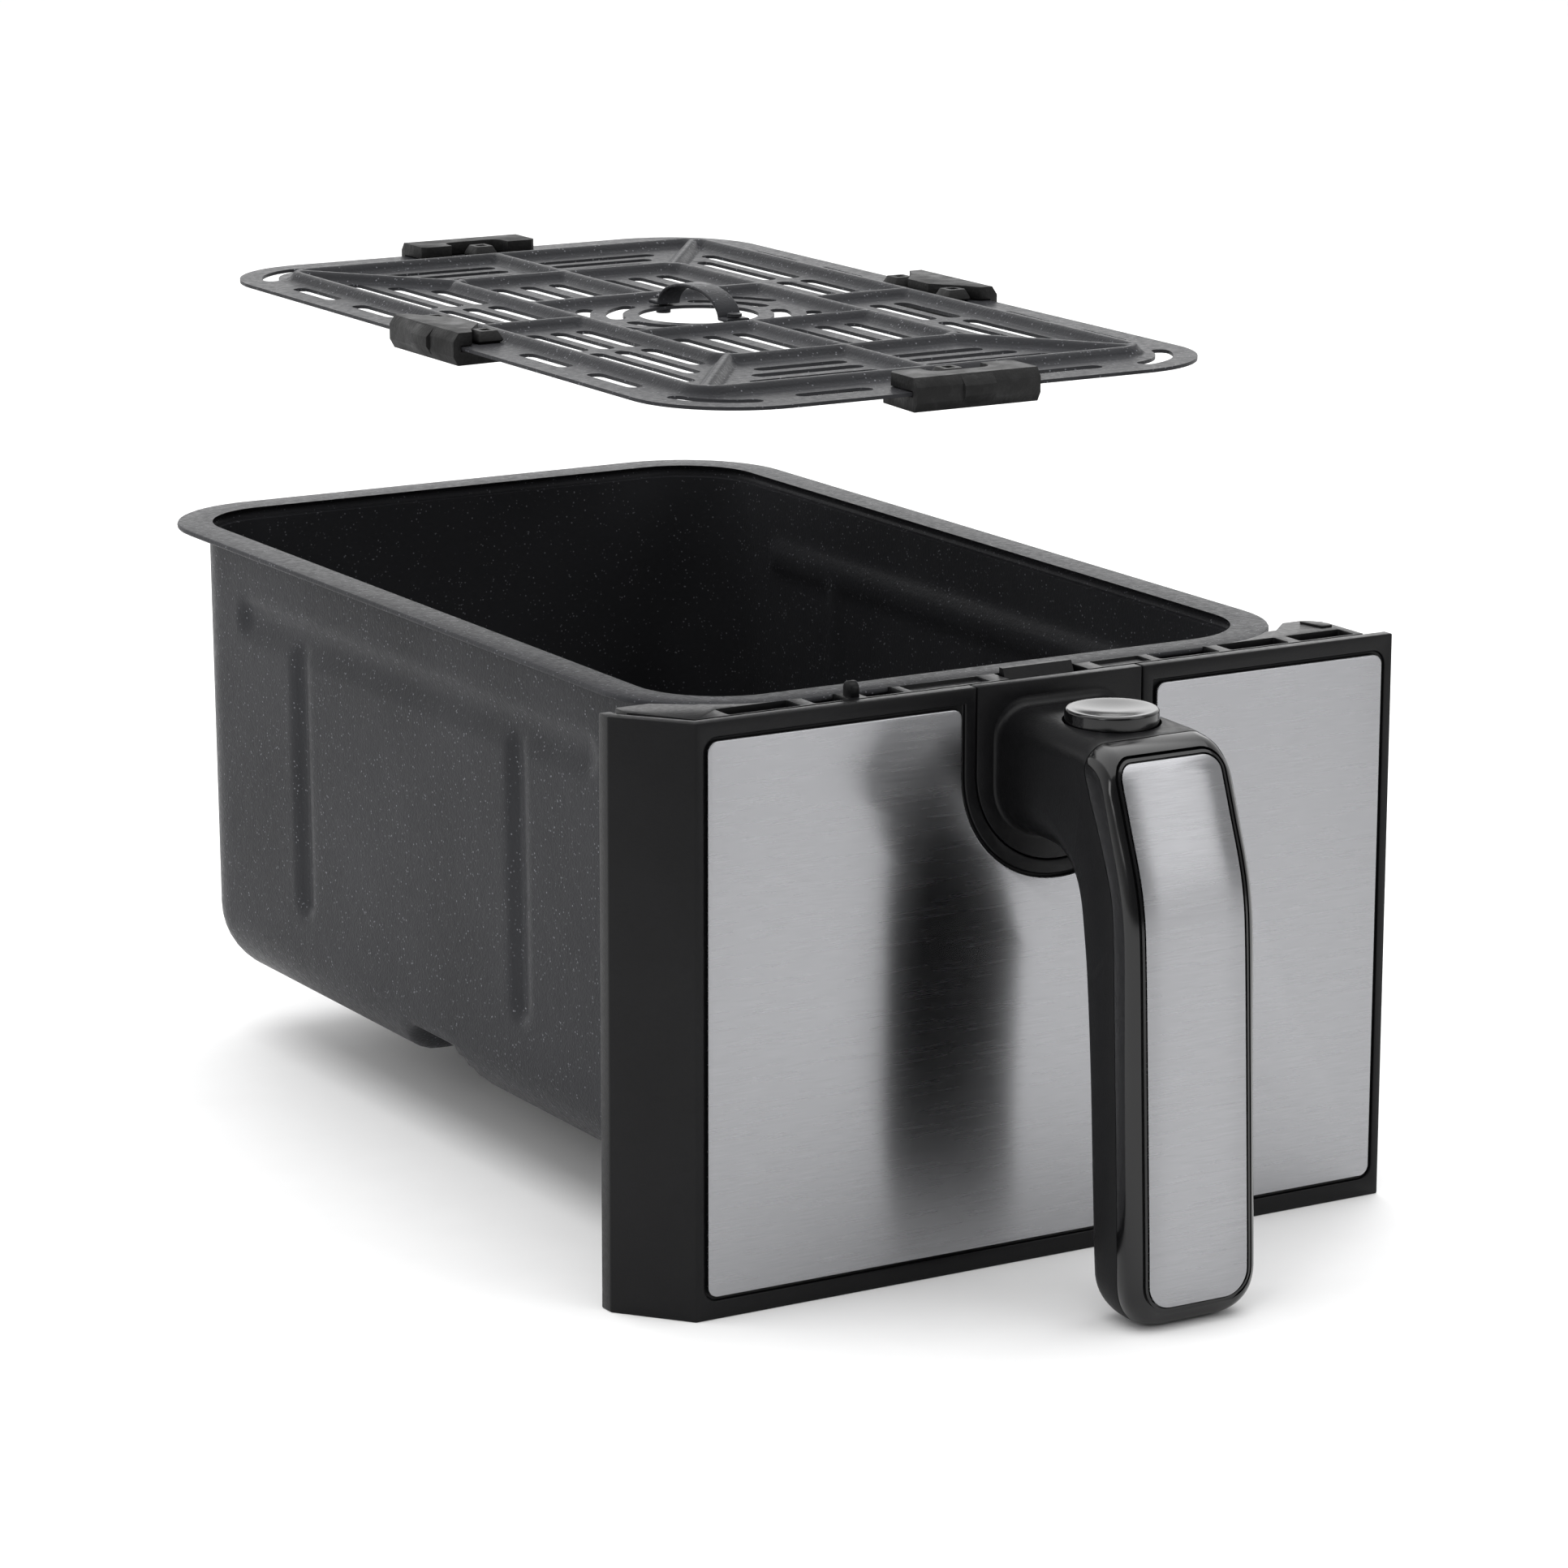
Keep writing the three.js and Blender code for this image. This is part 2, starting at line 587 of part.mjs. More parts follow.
// ---------------------------------------------------------------- crisper plate
function slotShape(u0, v0, u1, v1, half) {
  const length = Math.hypot(u1 - u0, v1 - v0);
  const du = (u1 - u0) / length;
  const dv = (v1 - v0) / length;
  const tip = half * 0.6;
  const near = -half;
  const far = length + half;
  const corners = [
    [near + tip, -half], [far - tip, -half], [far, -half + tip], [far, half - tip],
    [far - tip, half], [near + tip, half], [near, half - tip], [near, -half + tip],
  ];
  return corners.map(([s, t]) => [u0 + s * du - t * dv, v0 + s * dv + t * du]);
}

// Slot centre lines for one quarter of the plate, measured from its middle: [u0, v0, u1, v1].
function quarterSlots() {
  const edgeU = PLATE.width / 2 - 7.6;
  const edgeV = PLATE.length / 2 - 9.3;
  const slots = [
    [edgeU, 33.5, edgeU, 50.5],
    [edgeU, 65.2, edgeU, 82.3],
    [22.5, edgeV, 37.7, edgeV],
  ];
  for (let row = 0; row < 3; row += 1) {
    const u = 36.6 + row * 6.8;
    const v = 77 + row * 7.05;
    const inner = 7.1 + row * 8;
    slots.push([u, 10.5, u, 33]);
    slots.push([u, 41, u, 62.5 + row * 9.5]);
    slots.push([8.2, v, 28 + row * 4.7, v]);
    slots.push([inner, 32, inner, 57]);
  }
  return slots;
}

// Curved slots, as centre lines of a few chords: round the hole and in the plate's corners.
function arcSlots() {
  const arcs = [];
  const addArc = (cu, cv, radius, from, to) => {
    const steps = 3;
    for (let i = 0; i < steps; i += 1) {
      const a = THREE.MathUtils.degToRad(from + (to - from) * i / steps);
      const b = THREE.MathUtils.degToRad(from + (to - from) * (i + 1) / steps);
      const point = (angle) => [cu + radius * Math.cos(angle), cv + radius * Math.sin(angle)];
      arcs.push([...point(a), ...point(b)]);
    }
  };
  addArc(0, 0, 20, 12, 62);
  addArc(0, 0, 27.5, 22, 42);
  addArc(PLATE.width / 2 - PLATE.radius, PLATE.length / 2 - PLATE.radius, PLATE.radius - 7.5, 15, 75);
  return arcs;
}

function mirrored(lines) {
  const all = [];
  for (const [su, sv] of [[1, 1], [-1, 1], [1, -1], [-1, -1]]) {
    for (const [u0, v0, u1, v1] of lines) all.push([su * u0, sv * v0, su * u1, sv * v1]);
  }
  return all;
}

// A raised rib from one point to another, with sloping sides.
function rib(height, [u0, v0, u1, v1]) {
  const length = Math.hypot(u1 - u0, v1 - v0);
  const section = polygon([
    [-RIB.half, -0.2],
    [RIB.half, -0.2],
    [RIB.crown, height],
    [-RIB.crown, height],
  ]);
  const geometry = extrude(section, length + 2 * RIB.crown).translate(0, 0, -RIB.crown);
  geometry.rotateX(Math.PI / 2).rotateZ(Math.PI + Math.atan2(v1 - v0, u1 - u0) - Math.PI / 2);
  return toSolid(geometry.translate(PLATE_X + u0, PLATE_Y + v0, PLATE.top));
}

function makeRibs() {
  const outerU = PLATE.width / 2 - RIB.outerX;
  const outerV = PLATE.length / 2 - RIB.outerY;
  const innerU = PLATE.width / 2 - RIB.innerX;
  const innerV = PLATE.length / 2 - RIB.innerY;
  const along = [];
  const across = [[-innerU, RIB.cross, innerU, RIB.cross], [-innerU, -RIB.cross, innerU, -RIB.cross]];
  const diagonal = [];
  for (const side of [-1, 1]) {
    along.push([side * outerU, -outerV, side * outerU, outerV]);
    along.push([side * innerU, -innerV, side * innerU, innerV]);
    along.push([0, side * outerV, 0, side * RIB.cross]);
    across.push([-outerU, side * outerV, outerU, side * outerV]);
    across.push([-innerU, side * innerV, innerU, side * innerV]);
    across.push([side * outerU, 0, side * innerU, 0]);
    for (const end of [-1, 1]) {
      const outer = [side * (outerU - 0.7), end * (outerV - 1.3)];
      const inner = [side * (innerU + 0.9), end * (innerV + 1.1)];
      diagonal.push([...outer, ...inner]);
    }
  }
  return [
    ...along.map((line) => rib(RIB_HEIGHT.along, line)),
    ...across.map((line) => rib(RIB_HEIGHT.across, line)),
    ...diagonal.map((line) => rib(RIB_HEIGHT.diagonal, line)),
  ];
}

const SIDE_STUDS = [[-12, 8], [12, 8]];
const END_STUDS = [[0, 10.5]];
const CLIP_SITES = [
  { name: 'clip_left', turn: -90, edge: PLATE.width / 2, side: true },
  { name: 'clip_right', turn: 90, edge: PLATE.width / 2, side: true },
  { name: 'clip_front', turn: 0, edge: PLATE.length / 2, side: false },
  { name: 'clip_rear', turn: 180, edge: PLATE.length / 2, side: false },
];

// Turns a solid drawn beside the front edge (u along the edge, v inwards, z from the sheet's top)
// round to its place on the plate.
function placeAtEdge(solid, site) {
  return solid
    .translate([0, -site.edge, 0])
    .rotate([0, 0, site.turn])
    .translate([PLATE_X, PLATE_Y, PLATE.top]);
}

function makePlate() {
  const { width, length, radius, thick, top } = PLATE;
  const outline = roundedRect(
    PLATE_X - width / 2,
    PLATE_X + width / 2,
    PLATE_Y - length / 2,
    PLATE_Y + length / 2,
    radius,
  );
  const sheet = alongZ(outline, top - thick, top, 6);
  const ribs = makeRibs();
  const openings = [...mirrored(quarterSlots()), ...mirrored(arcSlots())].map(([u0, v0, u1, v1]) => {
    const corners = slotShape(u0, v0, u1, v1, SLOT.half).map(([u, v]) => [PLATE_X + u, PLATE_Y + v]);
    return alongZ(polygon(corners), top - thick - 1, top + 1);
  });
  const hole = cylinder(PLATE.hole, [PLATE_X, PLATE_Y, top - thick - 1], top + 1, 'z', 32);
  const studHoles = CLIP_SITES.flatMap((site) => (site.side ? SIDE_STUDS : END_STUDS).map(([u, v]) => {
    const half = CLIP.stud + GAP;
    return placeAtEdge(box(u - half, u + half, v - half, v + half, -5, 5), site);
  }));
  const rivetHoles = [-1, 1].map((side) => (
    cylinder(1.4, [PLATE_X, PLATE_Y + side * (LOOP.span - 1.8), top - 5], top + 5, 'z', 12)
  ));
  return cut(cut(join(sheet, ...ribs), ...openings, hole, ...studHoles), ...rivetHoles);
}

// The arched strip over the plate's middle hole, with a flat foot at each end.
function makeLoop() {
  const { span, height, thick, half } = LOOP;
  const foot = 4.6;
  const crown = span - foot;
  const base = PLATE.top + GAP;
  const shape = new THREE.Shape();
  shape.moveTo(PLATE_Y - span, base);
  shape.lineTo(PLATE_Y - crown + thick, base);
  shape.bezierCurveTo(
    PLATE_Y - crown + thick, base + height * 1.2,
    PLATE_Y + crown - thick, base + height * 1.2,
    PLATE_Y + crown - thick, base,
  );
  shape.lineTo(PLATE_Y + span, base);
  shape.lineTo(PLATE_Y + span, base + thick);
  shape.lineTo(PLATE_Y + crown, base + thick);
  shape.bezierCurveTo(
    PLATE_Y + crown, base + height * 1.2 + thick,
    PLATE_Y - crown, base + height * 1.2 + thick,
    PLATE_Y - crown, base + thick,
  );
  shape.lineTo(PLATE_Y - span, base + thick);
  const strip = alongX(shape, PLATE_X - half, PLATE_X + half, 0, 10);
  const holes = [-1, 1].map((side) => (
    cylinder(1.4, [PLATE_X, PLATE_Y + side * (span - 1.8), base - 2], base + 4, 'z', 12)
  ));
  return cut(strip, ...holes);
}

function makeRivet(side) {
  const y = PLATE_Y + side * (LOOP.span - 1.8);
  const upper = PLATE.top + GAP + LOOP.thick + GAP;
  const lower = PLATE.top - PLATE.thick - GAP;
  return join(
    cylinder(1.1, [PLATE_X, y, lower - 0.5], upper + 0.5, 'z', 12),
    cylinder(1.75, [PLATE_X, y, upper], upper + 0.7, 'z', 12),
    cylinder(1.75, [PLATE_X, y, lower - 0.7], lower, 'z', 12),
  );
}

// A silicone bumper that wraps the plate's edge; its studs come up through the sheet.
function makeClip(site) {
  const { half, outside, top, bottom, stud, nib } = CLIP;
  const under = -PLATE.thick - GAP;
  const chamfer = 1.2;
  const wall = alongX(polygon([
    [-GAP, bottom],
    [-GAP, top],
    [-outside + chamfer, top],
    [-outside, top - chamfer],
    [-outside, bottom + chamfer],
    [-outside + chamfer, bottom],
  ]), -half, half);
  const topShape = site.side
    ? polygon([[-half, -GAP - 0.5], [half, -GAP - 0.5], [half - 4, 4], [5.5, 9], [-5.5, 9], [-half + 4, 4]])
    : polygon([
      [-half, -GAP - 0.5], [half, -GAP - 0.5], [half, 10], [half - 8, 10],
      [half - 9.5, 5.5], [-half + 9.5, 5.5], [-half + 8, 10], [-half, 10],
    ]);
  const topArm = alongZ(topShape, GAP, top);
  const bottomArm = box(-half, half, -GAP - 0.5, 13.5, bottom, under);
  const studs = (site.side ? SIDE_STUDS : END_STUDS).map(([u, v]) => cut(
    box(u - stud, u + stud, v - stud, v + stud, under - 1, top - 0.6),
    box(u - stud + 1.3, u + stud - 1.3, v - stud + 1.3, v + stud - 1.3, top - 2.6, top + 1),
  ));
  const bump = box(-3, 3, -outside - nib, -outside + 0.5, bottom + 2.5, top - 2);
  return placeAtEdge(join(wall, topArm, bottomArm, bump, ...studs), site);
}

// ---------------------------------------------------------------- assembly
addPart('pan', makePan(), COATING());
addPart('pan_bracket', makePanBracket(), ZINC());
addPart('inner_frame', makeFrame(), SATIN_BLACK());
addPart('front_fascia', makeFascia(), SATIN_BLACK());
addPart('fascia_steel_panel', makePanel(), BRUSHED());
addPart('handle_rear_shell', makeRearShell(), SATIN_BLACK());
addPart('handle_front_bezel', makeBezel(), GLOSS_BLACK());
addPart('handle_steel_insert', insertSolid(0, 0), BRUSHED());
addPart('release_button', makeButton(), GLOSS_BLACK());
addPart('button_spring', makeButtonSpring(), ZINC());
addPart('latch_hook', makeHook(), SATIN_BLACK());
addPart('latch_pin', makePin(), ZINC());
addPart('hook_spring', makeHookSpring(), ZINC());
addScrews();
addPart('crisper_plate', makePlate(), COATING());
addPart('plate_loop', makeLoop(), COATING());
addPart('loop_rivet_front', makeRivet(-1), COATING());
addPart('loop_rivet_rear', makeRivet(1), COATING());
CLIP_SITES.forEach((site) => addPart(site.name, makeClip(site), SILICONE()));

const bounds = new THREE.Box3().setFromObject(model);
const middle = bounds.getCenter(new THREE.Vector3());
model.position.set(-middle.x, -middle.y, -bounds.min.z);

export default model;
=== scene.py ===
import json
import math

import bmesh
import bpy
import numpy as np
from bpy.props import FloatProperty, FloatVectorProperty, IntProperty, PointerProperty
from bpy.types import Operator, Panel, PropertyGroup
from mathutils import Matrix, Vector
from mathutils.geometry import delaunay_2d_cdt


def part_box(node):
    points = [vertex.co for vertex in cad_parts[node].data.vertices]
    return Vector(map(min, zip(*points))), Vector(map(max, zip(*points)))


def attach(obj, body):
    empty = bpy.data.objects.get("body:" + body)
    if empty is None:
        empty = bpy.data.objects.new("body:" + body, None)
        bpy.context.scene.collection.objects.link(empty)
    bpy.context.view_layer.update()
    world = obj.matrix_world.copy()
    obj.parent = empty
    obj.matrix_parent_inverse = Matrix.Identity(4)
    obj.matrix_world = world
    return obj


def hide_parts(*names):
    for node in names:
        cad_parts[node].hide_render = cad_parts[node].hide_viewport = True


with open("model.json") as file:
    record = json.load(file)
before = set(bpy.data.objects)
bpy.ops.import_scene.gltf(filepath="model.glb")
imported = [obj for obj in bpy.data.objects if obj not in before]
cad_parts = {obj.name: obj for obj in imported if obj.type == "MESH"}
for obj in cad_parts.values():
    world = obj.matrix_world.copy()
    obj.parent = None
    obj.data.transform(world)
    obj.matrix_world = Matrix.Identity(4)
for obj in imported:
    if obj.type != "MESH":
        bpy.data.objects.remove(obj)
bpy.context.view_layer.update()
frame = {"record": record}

bl_info = {
    "name": "Air Fryer Drawer",
    "version": (1, 0, 0),
    "blender": (4, 5, 0),
    "location": "3D View > Sidebar > Drawer",
    "description": "Builds the coated pan, fascia, handle and crisper plate of an air fryer drawer",
    "category": "Object",
}

# ---------------------------------------------------------------- the shared frame
MM = 0.001
PANEL_LOW, PANEL_HIGH = (Vector(corner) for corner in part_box("fascia_steel_panel"))
FASCIA_LOW, FASCIA_HIGH = (Vector(corner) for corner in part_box("front_fascia"))
PAN_LOW, PAN_HIGH = (Vector(corner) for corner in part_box("pan"))
PLATE_LOW, PLATE_HIGH = (Vector(corner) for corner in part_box("crisper_plate"))
SHELL_LOW, SHELL_HIGH = (Vector(corner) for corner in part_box("handle_rear_shell"))
FRAME_LOW, FRAME_HIGH = (Vector(corner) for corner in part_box("inner_frame"))
BUTTON_LOW, BUTTON_HIGH = (Vector(corner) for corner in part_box("release_button"))

# Drawing coordinates are millimetres: X = 0 in the middle of the steel panel, Y = 0 on the front
# of the fascia with the pan towards +Y, Z = 0 at the steel panel's lower edge.
ORIGIN = Vector(((PANEL_LOW.x + PANEL_HIGH.x) / 2, FASCIA_LOW.y, PANEL_LOW.z))


def drawn(point):
    """A point of the shared frame, in drawing millimetres."""
    return (Vector(point) - ORIGIN) / MM


def placed(x, y, z):
    """A drawing point, in the shared frame's metres."""
    return (ORIGIN.x + x * MM, ORIGIN.y + y * MM, ORIGIN.z + z * MM)


PANEL_HALF = drawn(PANEL_HIGH).x
PANEL_TOP = drawn(PANEL_HIGH).z
FASCIA_LEFT = drawn(FASCIA_LOW).x
FASCIA_RIGHT = drawn(FASCIA_HIGH).x
FASCIA_BOTTOM = drawn(FASCIA_LOW).z
FASCIA_TOP = drawn(FASCIA_HIGH).z
FASCIA_BACK = drawn(FASCIA_HIGH).y
RIM_LEFT, RIM_FRONT, PAN_BOTTOM = drawn(PAN_LOW)
RIM_RIGHT, RIM_BACK, RIM_TOP = drawn(PAN_HIGH)
HANDLE_X = (drawn(SHELL_LOW).x + drawn(SHELL_HIGH).x) / 2
BASE_HALF = (drawn(SHELL_HIGH).x - drawn(SHELL_LOW).x) / 2
PLATE_X = (drawn(PLATE_LOW).x + drawn(PLATE_HIGH).x) / 2
PLATE_Y = (drawn(PLATE_LOW).y + drawn(PLATE_HIGH).y) / 2
PLATE_HALF_X = (drawn(PLATE_HIGH).x - drawn(PLATE_LOW).x) / 2
PLATE_HALF_Y = (drawn(PLATE_HIGH).y - drawn(PLATE_LOW).y) / 2
PLATE_UNDER = drawn(PLATE_LOW).z


# ---------------------------------------------------------------- settings
class DrawerSizes(PropertyGroup):
    """Sizes of the drawer's fine shapes, in millimetres."""

    sheet: FloatProperty(
        name="Pan sheet", description="Thickness of the pan's sheet", default=1.2, min=0.6, max=3)
    flange: FloatProperty(
        name="Rim flange", description="Rim edge to the pan's outer wall", default=8.0, min=4)
    rim_radius: FloatProperty(
        name="Rim corner", description="Radius of the rim's corners", default=29.0, min=10)
    pan_fillet: FloatProperty(
        name="Pan foot radius", description="Radius where wall meets floor", default=18.0)
    bead_depth: FloatProperty(
        name="Bead depth", description="Depth of the wall's pressed beads", default=1.5)
    channel_depth: FloatProperty(
        name="Channel depth", description="Depth of the cross channel", default=11.5)
    plate_sheet: FloatProperty(
        name="Plate sheet", description="Thickness of the crisper plate", default=0.8)
    rib_height: FloatProperty(
        name="Rib height", description="Height of the plate's pressed ribs", default=2.0)
    slot_width: FloatProperty(
        name="Slot width", description="Width of the plate's slots", default=4.1)
    edge: FloatProperty(
        name="Moulded edge", description="Rounding of moulded edges", default=0.45, min=0.05)
    corner_steps: IntProperty(
        name="Corner steps", description="Facets round each rim corner", default=14, min=4)


class DrawerColours(PropertyGroup):
    """Base colours of the drawer's finishes."""

    coating: FloatVectorProperty(
        name="Coating", description="Non-stick coating", subtype="COLOR", size=3,
        default=(0.028, 0.0284, 0.031))
    satin: FloatVectorProperty(
        name="Satin plastic", description="Satin mouldings", subtype="COLOR", size=3,
        default=(0.0045, 0.0045, 0.005))
    gloss: FloatVectorProperty(
        name="Gloss plastic", description="Polished mouldings", subtype="COLOR", size=3,
        default=(0.003, 0.003, 0.0033))
    steel: FloatVectorProperty(
        name="Brushed steel", description="Stainless sheet", subtype="COLOR", size=3,
        default=(0.34, 0.342, 0.354))
    zinc: FloatVectorProperty(
        name="Zinc plate", description="Screws and brackets", subtype="COLOR", size=3,
        default=(0.55, 0.56, 0.57))
    silicone: FloatVectorProperty(
        name="Silicone", description="Plate clips", subtype="COLOR", size=3,
        default=(0.0065, 0.0065, 0.0066))
    floor: FloatVectorProperty(
        name="Floor", description="Pale studio floor", subtype="COLOR", size=3,
        default=(0.9, 0.9, 0.9))


class DrawerStudio(PropertyGroup):
    """Camera and light settings."""

    azimuth: FloatProperty(
        name="Azimuth", description="View direction", default=math.radians(-30.88), unit="ROTATION")
    elevation: FloatProperty(
        name="Elevation", description="View height", default=math.radians(13.48), unit="ROTATION")
    roll: FloatProperty(
        name="Roll", description="Camera roll", default=math.radians(0.13), unit="ROTATION")
    distance: FloatProperty(
        name="Distance", description="Camera to view plane", default=1.26019, unit="LENGTH")
    right: FloatProperty(
        name="Right", description="Aim point to the right", default=-0.05924, unit="LENGTH")
    up: FloatProperty(
        name="Up", description="Aim point upwards", default=0.10054, unit="LENGTH")
    lens: FloatProperty(
        name="Lens", description="Focal length, 36 mm sensor", default=129.54)
    key_power: FloatProperty(
        name="Key light", description="Power of the key light in watts", default=14.0)


# ---------------------------------------------------------------- outlines
def arc(cu, cv, radius, start, end, steps=8):
    """Points of an arc in degrees, both ends included."""
    angles = np.radians(np.linspace(start, end, steps + 1))
    return [(cu + radius * math.cos(a), cv + radius * math.sin(a)) for a in angles]


def rounded_rect(u0, u1, v0, v1, radius, steps=8):
    """A rectangle with rounded corners, anticlockwise from its lower right."""
    return (
        arc(u1 - radius, v0 + radius, radius, -90, 0, steps)
        + arc(u1 - radius, v1 - radius, radius, 0, 90, steps)
        + arc(u0 + radius, v1 - radius, radius, 90, 180, steps)
        + arc(u0 + radius, v0 + radius, radius, 180, 270, steps)
    )


def tongue(middle, half, bottom, top, steps=32):
    """Straight sides down from the top, closed by a half circle."""
    return [(middle + half, top), (middle - half, top)] + arc(middle, bottom + half, half, 180, 360, steps)


def bezier(p0, p1, p2, p3, steps=8):
    """Points of a cubic curve, without its last point."""
    t = np.linspace(0, 1, steps + 1)[:-1, None]
    points = [np.array(p, float) for p in (p0, p1, p2, p3)]
    curve = ((1 - t) ** 3 * points[0] + 3 * (1 - t) ** 2 * t * points[1]
             + 3 * (1 - t) * t ** 2 * points[2] + t ** 3 * points[3])
    return [tuple(p) for p in curve]


# ---------------------------------------------------------------- meshes
def mesh_object(name, points, faces):
    """An object made of drawing points, with its faces turned outwards."""
    mesh = bpy.data.meshes.new(name)
    mesh.from_pydata([placed(*p) for p in points], [], faces)
    mesh.validate()
    obj = bpy.data.objects.new(name, mesh)
    bpy.context.scene.collection.objects.link(obj)
    turn_outwards(obj)
    return obj


def turn_outwards(obj):
    bm = bmesh.new()
    bm.from_mesh(obj.data)
    bmesh.ops.recalc_face_normals(bm, faces=bm.faces)
    bm.to_mesh(obj.data)
    bm.free()


AXIS_ORDER = {
    "x": lambda u, v, w: (w, u, v),
    "y": lambda u, v, w: (u, w, v),
    "z": lambda u, v, w: (u, v, w),
}


def prism(name, outline, axis, low, high):
    """An outline pushed along an axis: (y, z) along x, (x, z) along y or (x, y) along z."""
    order = AXIS_ORDER[axis]
    count = len(outline)
    points = [order(u, v, low) for u, v in outline] + [order(u, v, high) for u, v in outline]
    faces = [tuple(range(count)), tuple(range(2 * count - 1, count - 1, -1))]
    faces += [(i, (i + 1) % count, count + (i + 1) % count, count + i) for i in range(count)]
    return mesh_object(name, points, faces)


def settle(obj):
    """Turns the object's modifiers into plain mesh."""
    graph = bpy.context.evaluated_depsgraph_get()
    mesh = bpy.data.meshes.new_from_object(obj.evaluated_get(graph))
    obj.modifiers.clear()
    old = obj.data
    obj.data = mesh
    bpy.data.meshes.remove(old)


def carve(obj, *cutters, operation="DIFFERENCE"):
    """Cuts, joins or intersects the object with others, which are used up."""
    for cutter in cutters:
        modifier = obj.modifiers.new("carve", "BOOLEAN")
        modifier.object = cutter
        modifier.operation = operation
        modifier.solver = "EXACT"
        settle(obj)
        mesh = cutter.data
        bpy.data.objects.remove(cutter)
        bpy.data.meshes.remove(mesh)
    return obj


def soften(obj, width, segments=3, angle=35):
    """Rounds the edges sharper than the angle."""
    modifier = obj.modifiers.new("soften", "BEVEL")
    modifier.width = width * MM
    modifier.segments = segments
    modifier.limit_method = "ANGLE"
    modifier.angle_limit = math.radians(angle)
    modifier.use_clamp_overlap = True
    modifier.harden_normals = False
    settle(obj)
    return obj


def map_brushing(obj):
    """A flat map of the sheet from the front, so that its brushing has a direction."""
    layer = obj.data.uv_layers.new(name="brushing")
    for loop in obj.data.loops:
        spot = obj.data.vertices[loop.vertex_index].co
        layer.data[loop.index].uv = (spot.x, spot.z)


def finish_piece(obj, slot, body, nodes, smooth=38):
    """Shades the piece, gives it its slot's finish and ties it to the frame."""
    for polygon in obj.data.polygons:
        polygon.use_smooth = True
    obj.data.set_sharp_from_angle(angle=math.radians(smooth))
    obj.data.materials.clear()
    obj.data.materials.append(finish_of(slot))
    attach(obj, body)
    if nodes:
        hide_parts(*nodes)


# ---------------------------------------------------------------- finishes
class Finish:
    """A small helper that lays out a node material."""

    def __init__(self, name):
        self.material = bpy.data.materials.new(name)
        self.material.use_nodes = True
        self.tree = self.material.node_tree
        self.shader = self.tree.nodes["Principled BSDF"]
        self.position = self.tree.nodes.new("ShaderNodeTexCoord").outputs["Object"]

    def node(self, kind, **inputs):
        node = self.tree.nodes.new(kind)
        for name, value in inputs.items():
            node.inputs[name.replace("_", " ")].default_value = value
        return node

    def link(self, source, target):
        self.tree.links.new(source, target)

    def stretched(self, scale):
        mapping = self.node("ShaderNodeMapping", Scale=scale)
        self.link(self.position, mapping.inputs["Vector"])
        return mapping.outputs["Vector"]

    def noise(self, scale, detail=2.0, roughness=0.5, stretch=(1, 1, 1)):
        node = self.node("ShaderNodeTexNoise", Scale=scale, Detail=detail, Roughness=roughness)
        self.link(self.stretched(stretch), node.inputs["Vector"])
        return node.outputs["Fac"]

    def cells(self, scale):
        node = self.node("ShaderNodeTexVoronoi", Scale=scale)
        self.link(self.position, node.inputs["Vector"])
        return node.outputs["Distance"]

    def remap(self, source, low, high, to_low, to_high):
        node = self.node("ShaderNodeMapRange")
        for name, value in (("From Min", low), ("From Max", high), ("To Min", to_low), ("To Max", to_high)):
            node.inputs[name].default_value = value
        self.link(source, node.inputs["Value"])
        return node.outputs["Result"]

    def blend(self, factor, first, second):
        node = self.tree.nodes.new("ShaderNodeMix")
        node.data_type = "RGBA"
        for name, value in (("A", first), ("B", second)):
            if hasattr(value, "is_linked"):
                self.link(value, node.inputs[name])
            else:
                node.inputs[name].default_value = (*value, 1)
        self.link(factor, node.inputs["Factor"])
        return node.outputs["Result"]

    def mottled(self, source, low, high, colour, dark, light):
        """A colour that wanders between a darker and a lighter shade of itself."""
        factor = self.remap(source, low, high, 0, 1)
        return self.blend(factor, scaled(colour, dark), scaled(colour, light))

    def product(self, first, second):
        node = self.tree.nodes.new("ShaderNodeMath")
        node.operation = "MULTIPLY"
        self.link(first, node.inputs[0])
        self.link(second, node.inputs[1])
        return node.outputs["Value"]

    def bump(self, height, strength, distance, below=None):
        node = self.node("ShaderNodeBump", Strength=strength, Distance=distance)
        self.link(height, node.inputs["Height"])
        if below is not None:
            self.link(below, node.inputs["Normal"])
        return node.outputs["Normal"]

    def plug(self, **inputs):
        for name, value in inputs.items():
            socket = self.shader.inputs[name.replace("_", " ")]
            if hasattr(value, "is_linked"):
                self.link(value, socket)
            else:
                socket.default_value = value
        return self.material


def scaled(colour, factor):
    """A lighter or darker shade of a colour."""
    return tuple(min(1.0, channel * factor) for channel in colour)


def coating_finish(colours):
    """Dark non-stick coating: an orange-peel surface with fine pale flecks, painted glints that stand in
    for the coating's sparkle.
    """
    f = Finish("nonstick_coating")
    base = f.mottled(f.noise(18, 3), 0.3, 0.7, colours.coating, 0.85, 1.2)
    # Painted glints: pale flecks mixed into the base colour stand in for the sparkle of the coating under
    # the lights.
    glint_flecks = f.remap(f.cells(950), 0.05, 0.26, 1, 0)
    glint_chance = f.remap(f.noise(420, 1), 0.47, 0.6, 0, 1)
    painted_glints = f.blend(f.product(glint_flecks, glint_chance), base, scaled(colours.coating, 7.0))
    grain = f.bump(f.noise(1400, 2), 0.32, 0.0003)
    peel = f.bump(f.noise(160, 2), 0.12, 0.0006, grain)
    return f.plug(Base_Color=painted_glints, Roughness=f.remap(f.noise(650, 2), 0.3, 0.7, 0.30, 0.42),
                  Metallic=0.0, IOR=1.33, Specular_IOR_Level=0.08, Normal=peel)


